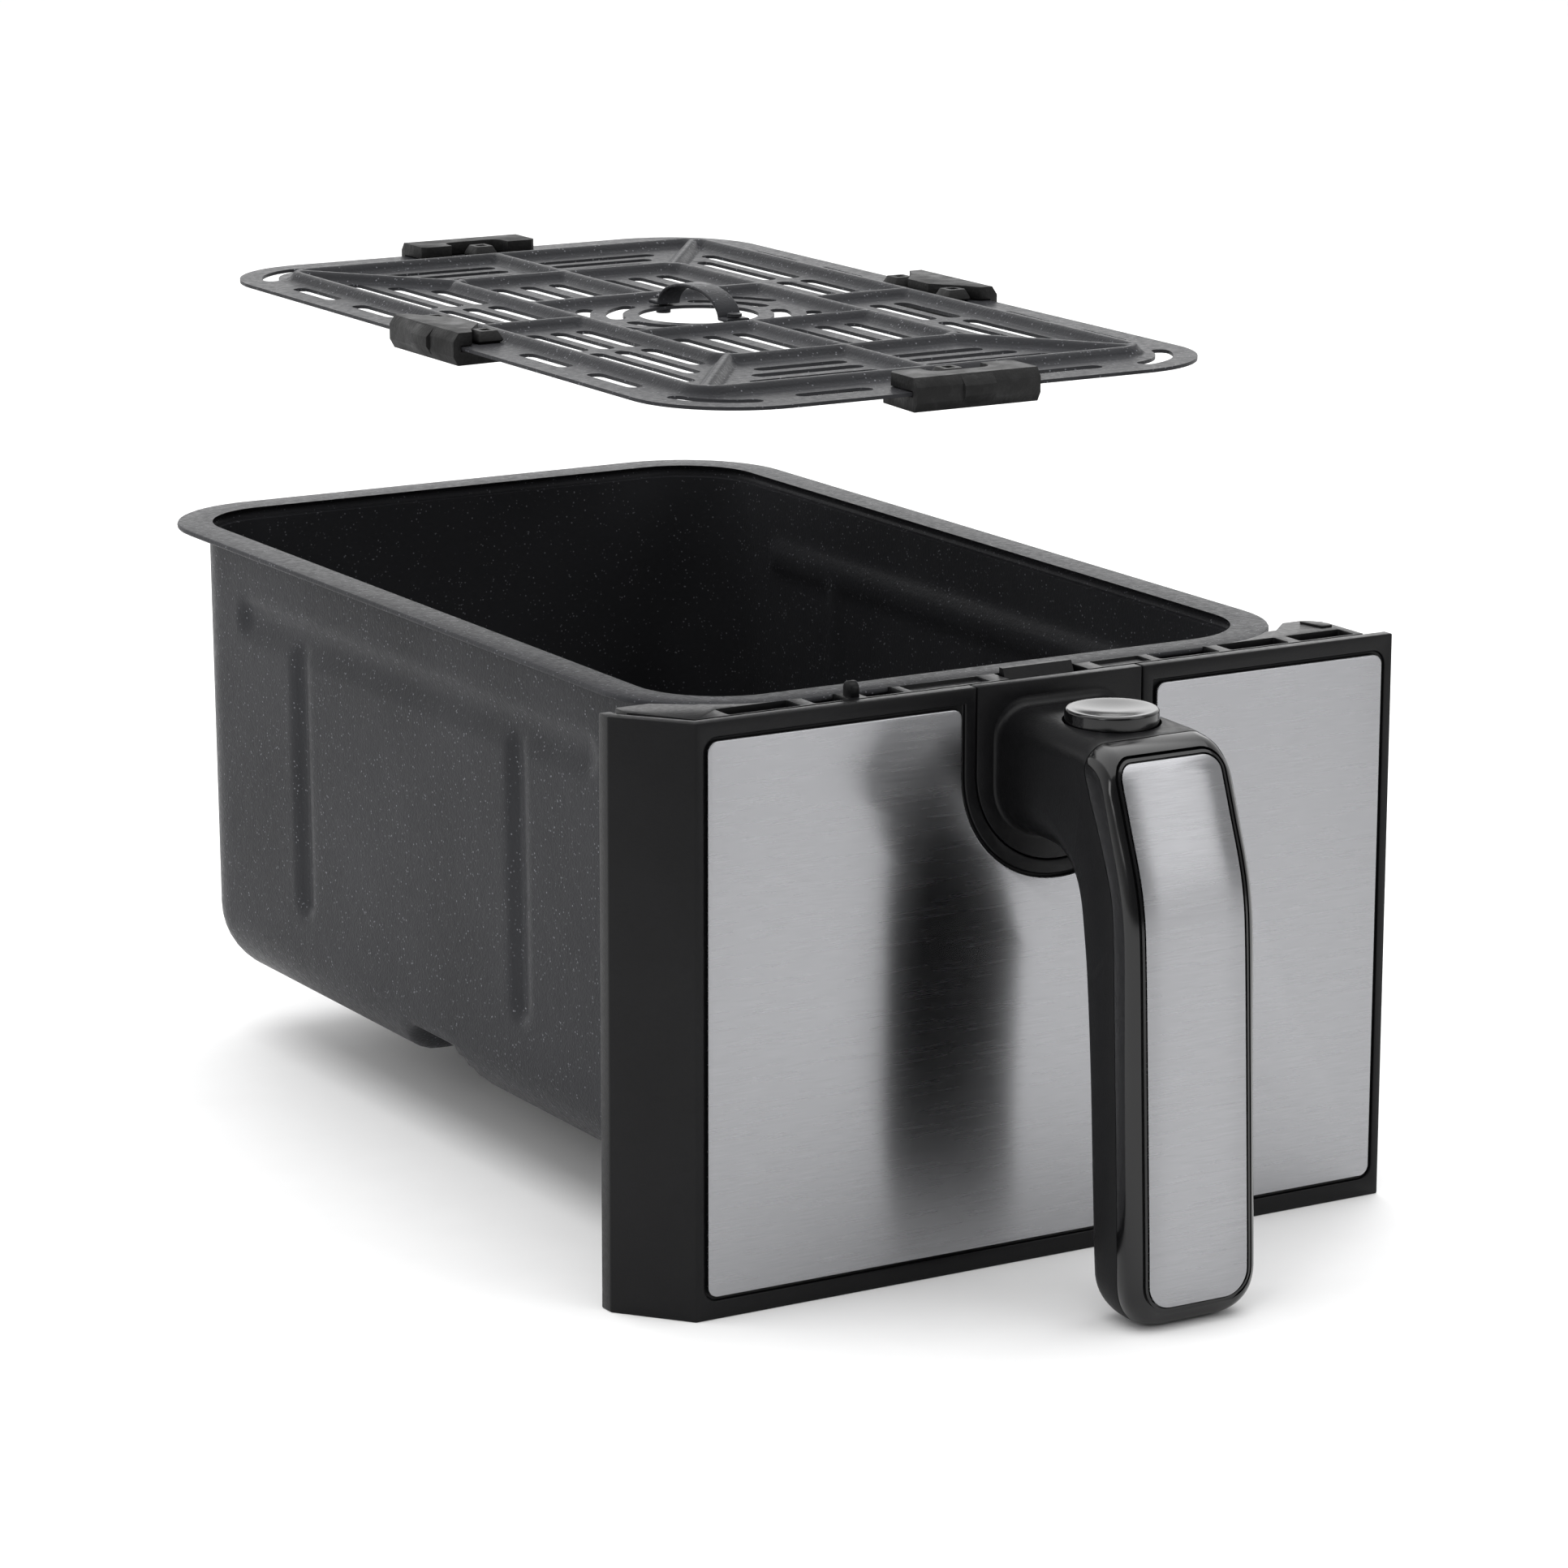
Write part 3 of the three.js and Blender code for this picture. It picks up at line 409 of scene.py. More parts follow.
def satin_finish(colours):
    """Satin moulded plastic with a fine spark texture."""
    f = Finish("satin_black_plastic")
    base = f.mottled(f.noise(60, 2), 0.3, 0.7, colours.satin, 0.9, 1.25)
    texture = f.bump(f.noise(2400, 2), 0.16, 0.0002)
    return f.plug(Base_Color=base, Roughness=f.remap(f.noise(900, 2), 0.3, 0.7, 0.32, 0.42),
                  IOR=1.49, Specular_IOR_Level=0.16, Normal=texture)


def gloss_finish(colours):
    """Polished plastic with a faint handling haze."""
    f = Finish("gloss_black_plastic")
    base = f.mottled(f.noise(40, 2), 0.3, 0.7, colours.gloss, 0.9, 1.2)
    wave = f.bump(f.noise(90, 1), 0.03, 0.0006)
    return f.plug(Base_Color=base, Roughness=f.remap(f.noise(35, 4), 0.35, 0.7, 0.12, 0.18),
                  IOR=1.52, Specular_IOR_Level=0.4, Normal=wave)


def steel_finish(colours):
    """Stainless sheet brushed from side to side."""
    f = Finish("brushed_stainless")
    along_grain = (0.035, 1, 1)
    fine = f.noise(4200, 2, 0.6, along_grain)
    broad = f.noise(1500, 2, 0.5, along_grain)
    base = f.mottled(fine, 0.25, 0.75, colours.steel, 0.93, 1.06)
    tangent = f.tree.nodes.new("ShaderNodeTangent")
    tangent.direction_type = "UV_MAP"
    tangent.uv_map = "brushing"
    return f.plug(Base_Color=base, Metallic=1.0, Roughness=f.remap(broad, 0.3, 0.7, 0.25, 0.28),
                  Anisotropic=1.0, Anisotropic_Rotation=0.25, Tangent=tangent.outputs["Tangent"])


def zinc_finish(colours):
    """Zinc-plated steel with a soft crystalline mottle."""
    f = Finish("zinc_plated_steel")
    base = f.mottled(f.cells(420), 0, 0.7, colours.zinc, 0.85, 1.1)
    return f.plug(Base_Color=base, Metallic=1.0, Roughness=f.remap(f.noise(300, 3), 0.3, 0.7, 0.28, 0.42),
                  Normal=f.bump(f.noise(700, 2), 0.1, 0.0002))


def spring_finish(colours):
    """Bright drawn wire with lengthwise die marks."""
    f = Finish("spring_wire")
    marks = f.noise(1500, 2, 0.5, (1, 1, 0.2))
    base = f.mottled(marks, 0.3, 0.7, colours.zinc, 0.8, 1.0)
    return f.plug(Base_Color=base, Metallic=1.0, Roughness=f.remap(marks, 0.3, 0.7, 0.2, 0.32),
                  Normal=f.bump(marks, 0.08, 0.0001))


def silicone_finish(colours):
    """Matt black silicone with pale dusty scuffs."""
    f = Finish("black_silicone")
    base = f.mottled(f.noise(330, 4, 0.7), 0.50, 0.74, colours.silicone, 1.0, 2.4)
    grain = f.bump(f.noise(1300, 3), 0.35, 0.0003)
    return f.plug(Base_Color=base, Roughness=f.remap(f.noise(240, 3), 0.3, 0.7, 0.46, 0.66),
                  IOR=1.41, Specular_IOR_Level=0.28, Normal=grain)


def floor_finish(colours):
    """Pale matt studio paper."""
    f = Finish("studio_paper")
    base = f.mottled(f.noise(60, 3), 0.3, 0.7, colours.floor, 0.985, 1.0)
    return f.plug(Base_Color=base, Roughness=0.85, Specular_IOR_Level=0.2)


FINISH_MAKERS = {
    "nonstick_coated_steel": coating_finish,
    "satin_black_plastic": satin_finish,
    "gloss_black_plastic": gloss_finish,
    "brushed_stainless": steel_finish,
    "zinc_plated_steel": zinc_finish,
    "spring_steel": spring_finish,
    "black_silicone": silicone_finish,
}
FINISHES = {}


def finish_of(slot):
    """The material of a finish slot, made once."""
    if slot not in FINISHES:
        FINISHES[slot] = FINISH_MAKERS[slot](bpy.context.scene.drawer_colours)
    return FINISHES[slot]


# ---------------------------------------------------------------- pan
SIDE_STEPS = 96
END_STEPS = 30
FLOOR_STEPS = 6
FOOT_STEPS = 10
WALL_STEPS = 52
DRAFT = 1.0
RIM_THICK = 1.3
RIM_LIP = 3.0
RIM_FOOT = 1.6
BEAD_LEVEL = 107.0
BEAD_FRONT = 62.0
BEAD_BACK = 236.0
BEAD_LOW = 41.0
BEAD_HALF = 5.6
UPRIGHTS = (96.0, 206.5)
UPRIGHT_HALF = 4.6
CHANNEL_FRONT = (120, 134)
CHANNEL_BACK = (152, 168)
CHANNEL_SOFT = 0.9


def smooth_step(value, low, high):
    """An eased rise from 0 to 1 between two values."""
    t = np.clip((value - low) / (high - low), 0, 1)
    return t * t * (3 - 2 * t)


def pan_ring(sizes, inset):
    """Points round the pan at one distance inside the rim's edge, with even steps on each side."""
    radius = max(sizes.rim_radius - inset, 0.6)
    right, left = RIM_RIGHT - inset - radius, RIM_LEFT + inset + radius
    front, back = RIM_FRONT + inset + radius, RIM_BACK - inset - radius
    points = []
    for cu, cv, start, nu, nv, steps in (
            (right, front, -90, right, back, SIDE_STEPS), (right, back, 0, left, back, END_STEPS),
            (left, back, 90, left, front, SIDE_STEPS), (left, front, 180, right, front, END_STEPS)):
        turn = arc(cu, cv, radius, start, start + 90, sizes.corner_steps)
        points += turn
        exit_u, exit_v = turn[-1]
        enter_u = exit_u + (nu - cu)
        enter_v = exit_v + (nv - cv)
        for i in range(1, steps):
            t = i / steps
            points.append((exit_u + (enter_u - exit_u) * t, exit_v + (enter_v - exit_v) * t))
    return np.array(points)


def bead_press(y, z):
    """How far the side walls' beads are pressed in at a place, from 0 to 1."""
    def groove(distance, half):
        return 1 - smooth_step(distance, half * 0.25, half)

    past_end = np.maximum(np.maximum(BEAD_FRONT - y, y - BEAD_BACK), 0)
    past_tip = np.maximum(np.maximum(BEAD_LOW - z, z - BEAD_LEVEL), 0)
    press = groove(np.hypot(z - BEAD_LEVEL, past_end * 1.6), BEAD_HALF)
    for place in UPRIGHTS:
        press = np.maximum(press, groove(np.hypot(y - place, past_tip), UPRIGHT_HALF))
    return press


def channel_rise(sizes, y):
    """Height of the channel that crosses the pan's bottom."""
    return sizes.channel_depth * smooth_step(y, *CHANNEL_FRONT) * (1 - smooth_step(y, *CHANNEL_BACK))


def pan_profile(inset, floor, fillet, top_z):
    """(inset, z) pairs from the middle of the floor out to the top of the wall."""
    middle = (RIM_RIGHT - RIM_LEFT) / 2 - 0.4
    foot = inset + DRAFT
    pairs = [(middle - (middle - (foot + fillet)) * i / FLOOR_STEPS, floor) for i in range(FLOOR_STEPS)]
    for i in range(FOOT_STEPS + 1):
        angle = math.pi / 2 * i / FOOT_STEPS
        pairs.append((foot + fillet * (1 - math.sin(angle)), floor + fillet * (1 - math.cos(angle))))
    low = floor + fillet
    for i in range(1, WALL_STEPS + 1):
        t = i / WALL_STEPS
        pairs.append((inset + DRAFT * (1 - t), low + (top_z - low) * t))
    return pairs


def pan_mesh(sizes):
    """Points and faces of the whole pan: the outside up to the rim, then down the inside."""
    sheet, wall, lip = sizes.sheet, sizes.flange, RIM_LIP
    under = RIM_TOP - RIM_THICK
    outer = pan_profile(wall, PAN_BOTTOM, sizes.pan_fillet, under - RIM_FOOT)
    inner = pan_profile(wall + sheet, PAN_BOTTOM + sheet, sizes.pan_fillet - sheet, RIM_TOP - lip)
    rim = [(wall - RIM_FOOT * (1 - math.cos(a)), under - RIM_FOOT * (1 - math.sin(a)))
           for a in np.radians([30, 60, 90])]
    rim += [(0.5, under), (0.12, under + 0.2), (0, under + 0.5), (0, RIM_TOP - 0.5), (0.15, RIM_TOP - 0.14),
            (0.5, RIM_TOP), (wall + sheet - lip - 0.4, RIM_TOP)]
    rim += [(wall + sheet - lip * math.cos(a), RIM_TOP - lip * (1 - math.sin(a)))
            for a in np.radians([82, 70, 57, 43, 29, 14])]
    profile = ([(i, z, PAN_BOTTOM) for i, z in outer] + [(i, z, None) for i, z in rim]
               + [(i, z, PAN_BOTTOM + sheet) for i, z in reversed(inner)])
    middle = (RIM_LEFT + RIM_RIGHT) / 2
    rings = []
    for inset, z, floor in profile:
        flat = pan_ring(sizes, inset)
        x, y = flat[:, 0], flat[:, 1]
        height = np.full(len(flat), float(z))
        if floor is not None:
            roof = floor + channel_rise(sizes, y)
            gap = np.clip((height - roof) / (2 * CHANNEL_SOFT) + 0.5, 0, 1)
            eased = height * gap + roof * (1 - gap) + CHANNEL_SOFT * gap * (1 - gap)
            height = np.where(roof > floor + 0.01, eased, height)
            on_side = np.abs(x - middle) > (RIM_RIGHT - RIM_LEFT) / 2 - inset - 0.6
            press = bead_press(y, height) * sizes.bead_depth * on_side * (z > PAN_BOTTOM + 20)
            x = x - np.sign(x - middle) * press
        rings.append(np.column_stack([x, y, height]))
    count = len(rings[0])
    points = np.vstack(rings)
    faces = []
    for level in range(len(rings) - 1):
        low, high = level * count, (level + 1) * count
        for i in range(count):
            nxt = (i + 1) % count
            faces.append((low + i, low + nxt, high + nxt, high + i))
    for base in (0, (len(rings) - 1) * count):
        faces += close_middle(sizes, base, count)
    return points, faces


def close_middle(sizes, base, count):
    """Quads across the narrow slit that the innermost ring leaves."""
    right_start = sizes.corner_steps
    left_end = 3 * sizes.corner_steps + 2 * SIDE_STEPS + END_STEPS
    faces = []
    for i in range(SIDE_STEPS):
        a, b = right_start + i, right_start + i + 1
        c, d = left_end - i - 1, left_end - i
        faces.append(tuple(base + k % count for k in (a, b, c, d)))
    faces.append(tuple(base + k for k in range(right_start + SIDE_STEPS, left_end - SIDE_STEPS + 1)))
    faces.append(tuple(base + k % count for k in range(left_end, count + right_start + 1)))
    return faces


class DRAWER_OT_pan(Operator):
    """Build the deep coated pan with its beads, cross channel and rolled rim"""

    bl_idname = "drawer.make_pan"
    bl_label = "Make Pan"

    def execute(self, context):
        points, faces = pan_mesh(context.scene.drawer_sizes)
        obj = mesh_object("coated_pan", points, faces)
        finish_piece(obj, "nonstick_coated_steel", "drawer", ["pan"], 60)
        return {"FINISHED"}


# ---------------------------------------------------------------- fascia
NOTCH_HALF = 25.5
NOTCH_BOTTOM = 82.3
BASE_BOTTOM = 86.6
CLEARANCE = 0.3
WALL = 3.0
PANEL_RADIUS = 2.4
GROOVE = 0.9
RECESS_RADIUS = 3.3
RECESS_DEPTH = 0.9
NOTCH_LIP = 2.2
CHAMFER = 12.5
CHAMFER_DEPTH = 15.5
CHAMFER_ANGLE = math.atan2(CHAMFER_DEPTH, CHAMFER)
FRONT_MITRE = WALL * math.tan(CHAMFER_ANGLE / 2)
SIDE_MITRE = WALL * math.tan((math.pi / 2 - CHAMFER_ANGLE) / 2)


class DRAWER_OT_fascia(Operator):
    """Build the moulded fascia with its chamfered side and the recess for the steel panel"""

    bl_idname = "drawer.make_fascia"
    bl_label = "Make Fascia"

    def execute(self, context):
        sizes = context.scene.drawer_sizes
        front_left = FASCIA_LEFT + CHAMFER
        outline = [
            (front_left, 0), (FASCIA_RIGHT, 0), (FASCIA_RIGHT, WALL), (front_left + FRONT_MITRE, WALL),
            (FASCIA_LEFT + WALL, CHAMFER_DEPTH + SIDE_MITRE), (FASCIA_LEFT + WALL, FASCIA_BACK),
            (FASCIA_LEFT, FASCIA_BACK), (FASCIA_LEFT, CHAMFER_DEPTH),
        ]
        shell = prism("fascia_moulding", outline, "z", FASCIA_BOTTOM, FASCIA_TOP)
        half, above = PANEL_HALF + GROOVE, FASCIA_TOP + 4
        edge = rounded_rect(-half, half, -GROOVE, PANEL_TOP + GROOVE, RECESS_RADIUS, 10)
        recess = prism("recess", edge, "y", -2, RECESS_DEPTH)
        island = tongue(HANDLE_X, NOTCH_HALF - GROOVE, NOTCH_BOTTOM + GROOVE, above)
        carve(recess, prism("keep", island, "y", -3, 2))
        seat = tongue(HANDLE_X, BASE_HALF + CLEARANCE, BASE_BOTTOM - CLEARANCE, above)
        carve(shell, recess, prism("seat", seat, "y", -3, WALL + 2))
        soften(shell, sizes.edge * 0.8, 3, 30)
        finish_piece(shell, "satin_black_plastic", "drawer", ["front_fascia"])
        return {"FINISHED"}


class DRAWER_OT_steel_panel(Operator):
    """Build the brushed steel sheet with its U-shaped cut-out"""

    bl_idname = "drawer.make_steel_panel"
    bl_label = "Make Steel Panel"

    def execute(self, context):
        front, back = drawn(PANEL_LOW).y, drawn(PANEL_HIGH).y
        outline = rounded_rect(-PANEL_HALF, PANEL_HALF, 0, PANEL_TOP, PANEL_RADIUS, 12)
        sheet = prism("brushed_fascia_panel", outline, "y", front, back)
        left, right = HANDLE_X - NOTCH_HALF - NOTCH_LIP, HANDLE_X + NOTCH_HALF + NOTCH_LIP
        notch = [(right, PANEL_TOP + 3), (left, PANEL_TOP + 3)]
        notch += arc(left, PANEL_TOP - NOTCH_LIP, NOTCH_LIP, 90, 0, 6)
        notch += arc(HANDLE_X, NOTCH_BOTTOM + NOTCH_HALF, NOTCH_HALF, 180, 360, 48)
        notch += arc(right, PANEL_TOP - NOTCH_LIP, NOTCH_LIP, 180, 90, 6)
        carve(sheet, prism("notch", notch, "y", front - 2, back + 2))
        soften(sheet, 0.22, 3, 30)
        map_brushing(sheet)
        finish_piece(sheet, "brushed_stainless", "drawer", ["fascia_steel_panel"])
        return {"FINISHED"}


# ---------------------------------------------------------------- inner frame
FRAME_POCKETS = ((-80, -62), (-58.5, -50), (-45.5, -36), (31, 47), (50, 66), (69, 84))
FRAME_SHALLOW = ((-34, -14), (15.5, 28.5))
FRAME_TOWER = 23.0
FRAME_BACK = 17.2
FRAME_TOP = 127.1
FRAME_WALL = 2.2
FRAME_ROOF = 2.5
POCKET_DEPTH = 6.0
SHALLOW_DEPTH = 0.7
SLOT_DEPTH = 5.0
SLOT_HALF = 10.4
BORDER_DEPTH = 0.9
PEG = {"left": -49.0, "right": -46.8, "front": 6.0, "back": 9.5, "rise": 1.6}


class DRAWER_OT_inner_frame(Operator):
    """Build the frame moulding behind the fascia, with its pockets and latch slot"""

    bl_idname = "drawer.make_inner_frame"
    bl_label = "Make Inner Frame"

    def execute(self, context):
        sizes = context.scene.drawer_sizes
        left, right = drawn(FRAME_LOW).x, drawn(FRAME_HIGH).x
        front, top, bottom = drawn(FRAME_LOW).y, FRAME_TOP, drawn(FRAME_LOW).z
        chamfer_x = FASCIA_LEFT + CHAMFER + FRONT_MITRE + CLEARANCE
        chamfer_y = CHAMFER_DEPTH + SIDE_MITRE + CLEARANCE
        outline = [
            (chamfer_x, front), (right, front), (right, FRAME_TOWER - 5), (right - 4, FRAME_TOWER),
            (right - 9, FRAME_TOWER), (right - 15, FRAME_BACK), (left + 19, FRAME_BACK),
            (left + 11, FRAME_TOWER), (left + 3, FRAME_TOWER), (left, FRAME_TOWER - 3), (left, chamfer_y),
        ]
        block = prism("frame_moulding", outline, "z", bottom, top)
        wall_x, wall_y = right - FRAME_WALL, FRAME_BACK - FRAME_WALL
        cavity = [(chamfer_x + 4, front - 2), (wall_x, front - 2), (wall_x, wall_y), (left + 4.8, wall_y)]
        hollow = prism("hollow", cavity, "z", bottom + FRAME_WALL, top - FRAME_ROOF)
        seat = rounded_rect(RIM_LEFT - CLEARANCE, RIM_RIGHT + CLEARANCE, RIM_FRONT - CLEARANCE, RIM_BACK,
                            sizes.rim_radius, 20)
        rim = prism("rim", seat, "z", RIM_TOP - RIM_THICK - CLEARANCE, top + 4)
        carve(block, hollow, rim)
        for x0, x1 in FRAME_POCKETS:
            pocket = rounded_rect(x0, x1, 5, 11.1, 0.6, 3)
            carve(block, prism("pocket", pocket, "z", top - POCKET_DEPTH, top + 2))
        for x0, x1 in FRAME_SHALLOW:
            shallow = rounded_rect(x0, x1, 5, 10.6, 0.4, 3)
            carve(block, prism("shallow", shallow, "z", top - SHALLOW_DEPTH, top + 2))
        slot = rounded_rect(HANDLE_X - SLOT_HALF, HANDLE_X + SLOT_HALF, 4.1, 11, 0.5, 3)
        carve(block, prism("latch_slot", slot, "z", top - SLOT_DEPTH, top + 2))
        border = [(120, 2), (120, 4.5), (chamfer_x + 1, 4.5), (left + 2.6, chamfer_y + 0.8),
                  (left + 2.6, 30), (left - 6, 30), (left - 6, 2)]
        carve(block, prism("step", border, "z", top - BORDER_DEPTH, top + 2))
        soften(block, sizes.edge * 0.8, 2, 30)
        finish_piece(block, "satin_black_plastic", "drawer", ["inner_frame"])
        self.raised_details(top)
        return {"FINISHED"}

    def raised_details(self, top):
        """The upright peg between the pockets and the low pad on the right corner tower."""
        front, back, neck = PEG["front"], PEG["back"], top + PEG["rise"]
        outline = [(front, top - 1), (back, top - 1), (back, neck)]
        outline += arc((front + back) / 2, neck, (back - front) / 2, 0, 180, 10)[1:]
        peg = prism("frame_peg", outline, "x", PEG["left"], PEG["right"])
        soften(peg, 0.25, 2, 40)
        finish_piece(peg, "satin_black_plastic", "drawer", [])
        corner = [(81.5, 14), (84.5, 14), (84.5, 17.8), (82, 21), (80.2, 21)]
        pad = prism("frame_pad_right", corner, "z", top - 0.2, top + 0.5)
        soften(pad, 0.3, 2, 40)
        finish_piece(pad, "satin_black_plastic", "drawer", [])


# ---------------------------------------------------------------- handle
GRIP_HALF = 16.5
# Matching points of the handle's outer and inner side curves, (y, z), from the fascia round to
# the foot of the grip, with the radii of the section's outer and inner corners.
HANDLE_STATIONS = (
    ((1.5, 122.0), (1.5, 92.9), 7.5, 12.5), ((-6, 121.9), (-6, 92.9), 7.3, 12.5),
    ((-14, 121.7), (-14, 92.8), 7.0, 12.0), ((-21, 121.5), (-20.5, 92.3), 6.6, 10.5),
    ((-27.5, 121.2), (-25.2, 91.2), 6.2, 8.5),
    ((-33.4, 120.8), (-28.6, 89.6), 5.8, 6.6), ((-38.6, 119.4), (-31.0, 87.2), 5.4, 5.2),
    ((-42.2, 116.0), (-32.5, 84.2), 5.0, 4.2), ((-44.3, 111.2), (-33.4, 80.8), 4.8, 3.6),
    ((-46.8, 104.6), (-34.1, 76.8), 4.6, 3.2), ((-50.3, 95.4), (-34.7, 72.0), 4.4, 3.0),
    ((-52.3, 87.6), (-35.2, 66.5), 4.4, 3.0), ((-53.3, 77.5), (-35.7, 60.0), 4.4, 3.0),
    ((-54.6, 52), (-36.6, 45), 4.4, 3.0), ((-55.6, 30), (-37.6, 27), 4.4, 3.0),
    ((-56.4, 12), (-38.4, 11.5), 4.4, 3.2), ((-56.6, 6), (-38.7, 6), 4.4, 3.4),
)
FOOT_DROP = 10.9
SHELL_WALL = 2.4
SEAM_GAP = 0.25
WELL_RADIUS = 10.8
WELL_FLOOR = 117.6
FLARE = 2.2
INSERT_HALF = 12.7
INSERT_BOTTOM = 0.4
INSERT_TOP = 117.2
INSERT_FRONT = 0.15
INSERT_BACK = 1.3
INSERT_GAP = 0.4
INSERT_SEAT = 1.4
LIP_OUTER = 1.5
LIP_INNER = 0.95
LIP_DEPTH = 0.95
IN_FRONT = -6.0


def flowing(points, steps):
    """A smooth curve through the points."""
    p = np.array(points, float)
    padded = np.vstack([2 * p[0] - p[1], p, 2 * p[-1] - p[-2]])
    result = []
    for i in range(len(p) - 1):
        a, b, c, d = padded[i:i + 4]
        for t in np.arange(steps) / steps:
            result.append(0.5 * (2 * b + (c - a) * t + (2 * a - 5 * b + 4 * c - d) * t ** 2
                                 + (3 * b - a - 3 * c + d) * t ** 3))
    result.append(p[-1])
    return np.array(result)


def section(outer, inner, half, r_out, r_in, steps=8):
    """One closed ring of the handle, rounded at its four corners."""
    depth = float(np.linalg.norm(outer - inner))
    direction = (outer - inner) / depth
    r_out = min(r_out, half * 0.98, depth * 0.49)
    r_in = min(r_in, half * 0.98, depth * 0.49)
    flat = (arc(half - r_in, r_in, r_in, -90, 0, steps)
            + arc(half - r_out, depth - r_out, r_out, 0, 90, steps)
            + arc(-half + r_out, depth - r_out, r_out, 90, 180, steps)
            + arc(-half + r_in, r_in, r_in, 180, 270, steps))
    return [(HANDLE_X + u, inner[0] + direction[0] * v, inner[1] + direction[1] * v) for u, v in flat]


def handle_rings(inset=0.0):
    """Rings from the fascia round to the foot; with an inset, the hollow inside the wall."""
    outer = flowing([s[0] for s in HANDLE_STATIONS], 5)
    inner = flowing([s[1] for s in HANDLE_STATIONS], 5)
    radii = flowing([s[2:] for s in HANDLE_STATIONS], 5)
    rings = []
    for o, n, (r_out, r_in) in zip(outer, inner, radii):
        push = (o - n) / np.linalg.norm(o - n) * inset
        r_out, r_in = r_out - inset * 0.9, max(r_in - inset, 0.6)
        rings.append(section(o - push, n + push, GRIP_HALF - inset, r_out, r_in))
    if inset:
        return [[(x, y + WALL, z) for x, y, z in rings[0]]] + rings
    front_y, foot_z = outer[-1]
    back_y = inner[-1][0]
    for angle in np.radians(np.linspace(7, 88, 14)):
        z = foot_z - FOOT_DROP * math.sin(angle)
        ease = 1 - math.cos(angle)
        o = np.array([front_y + 6.0 * ease ** 1.2, z])
        n = np.array([back_y - 8.0 * ease, z])
        rings.append(section(o, n, GRIP_HALF - 8.0 * ease ** 1.1, 4.4, 3.4 + 1.5 * ease))
    return rings


def skin(name, rings):
    """A closed body through rings of equal point counts."""
    count = len(rings[0])
    points = [p for ring in rings for p in ring]
    faces = [tuple(range(count)), tuple(range(len(points) - 1, len(points) - count - 1, -1))]
    for level in range(len(rings) - 1):
        low = level * count
        for i in range(count):
            nxt = (i + 1) % count
            faces.append((low + i, low + nxt, low + count + nxt, low + count + i))
    return mesh_object(name, points, faces)


def seam_outline(gap):
    """The side outline, in (y, z), of all that lies in front of the seam."""
    line = [(-34.0, 140), (-34.0, 119), (-34.2, 114.6), (-36.2, 109.8), (-39.4, 103.4), (-44.4, 91.6),
            (-45.8, 84), (-46.6, 70), (-47.4, 52), (-48.6, 28), (-49.4, 6), (-49.6, -20)]
    curve = [tuple(p) for p in flowing(line, 3)]
    return [(-80, 140)] + [(y - gap, z) for y, z in curve] + [(-80, -20)]


def front_layer(near, far):
    """A side outline that follows the grip's front, between two depths behind it."""
    line = [(y, z) for y, z in flowing([s[0] for s in HANDLE_STATIONS[5:]], 5)]
    line += [(-56.6, -8)]
    slopes = np.gradient(np.array(line), axis=0)
    slopes /= np.linalg.norm(slopes, axis=1)[:, None]
    inward = [(-dz, dy) for dy, dz in slopes]
    front = [(y + near * a, z + near * b) for (y, z), (a, b) in zip(line, inward)]
    back = [(y + far * a, z + far * b) for (y, z), (a, b) in zip(line, inward)]
    return front + back[::-1]


def insert_outline(grow):
    """The steel insert's outline in (x, z), grown all round."""
    half = INSERT_HALF + grow
    low, high = INSERT_BOTTOM - grow, INSERT_TOP + grow
    foot, head = 5.6 + grow, 3.4 + grow
    return arched_rect(half, low, high, head, foot, 8)


def arched_rect(half, low, high, head, foot, steps):
    """A rectangle about the handle's middle plane, with its own radii at head and foot."""
    return (arc(HANDLE_X + half - foot, low + foot, foot, -90, 0, steps)
            + arc(HANDLE_X + half - head, high - head, head, 0, 90, steps)
            + arc(HANDLE_X - half + head, high - head, head, 90, 180, steps)
            + arc(HANDLE_X - half + foot, low + foot, foot, 180, 270, steps))


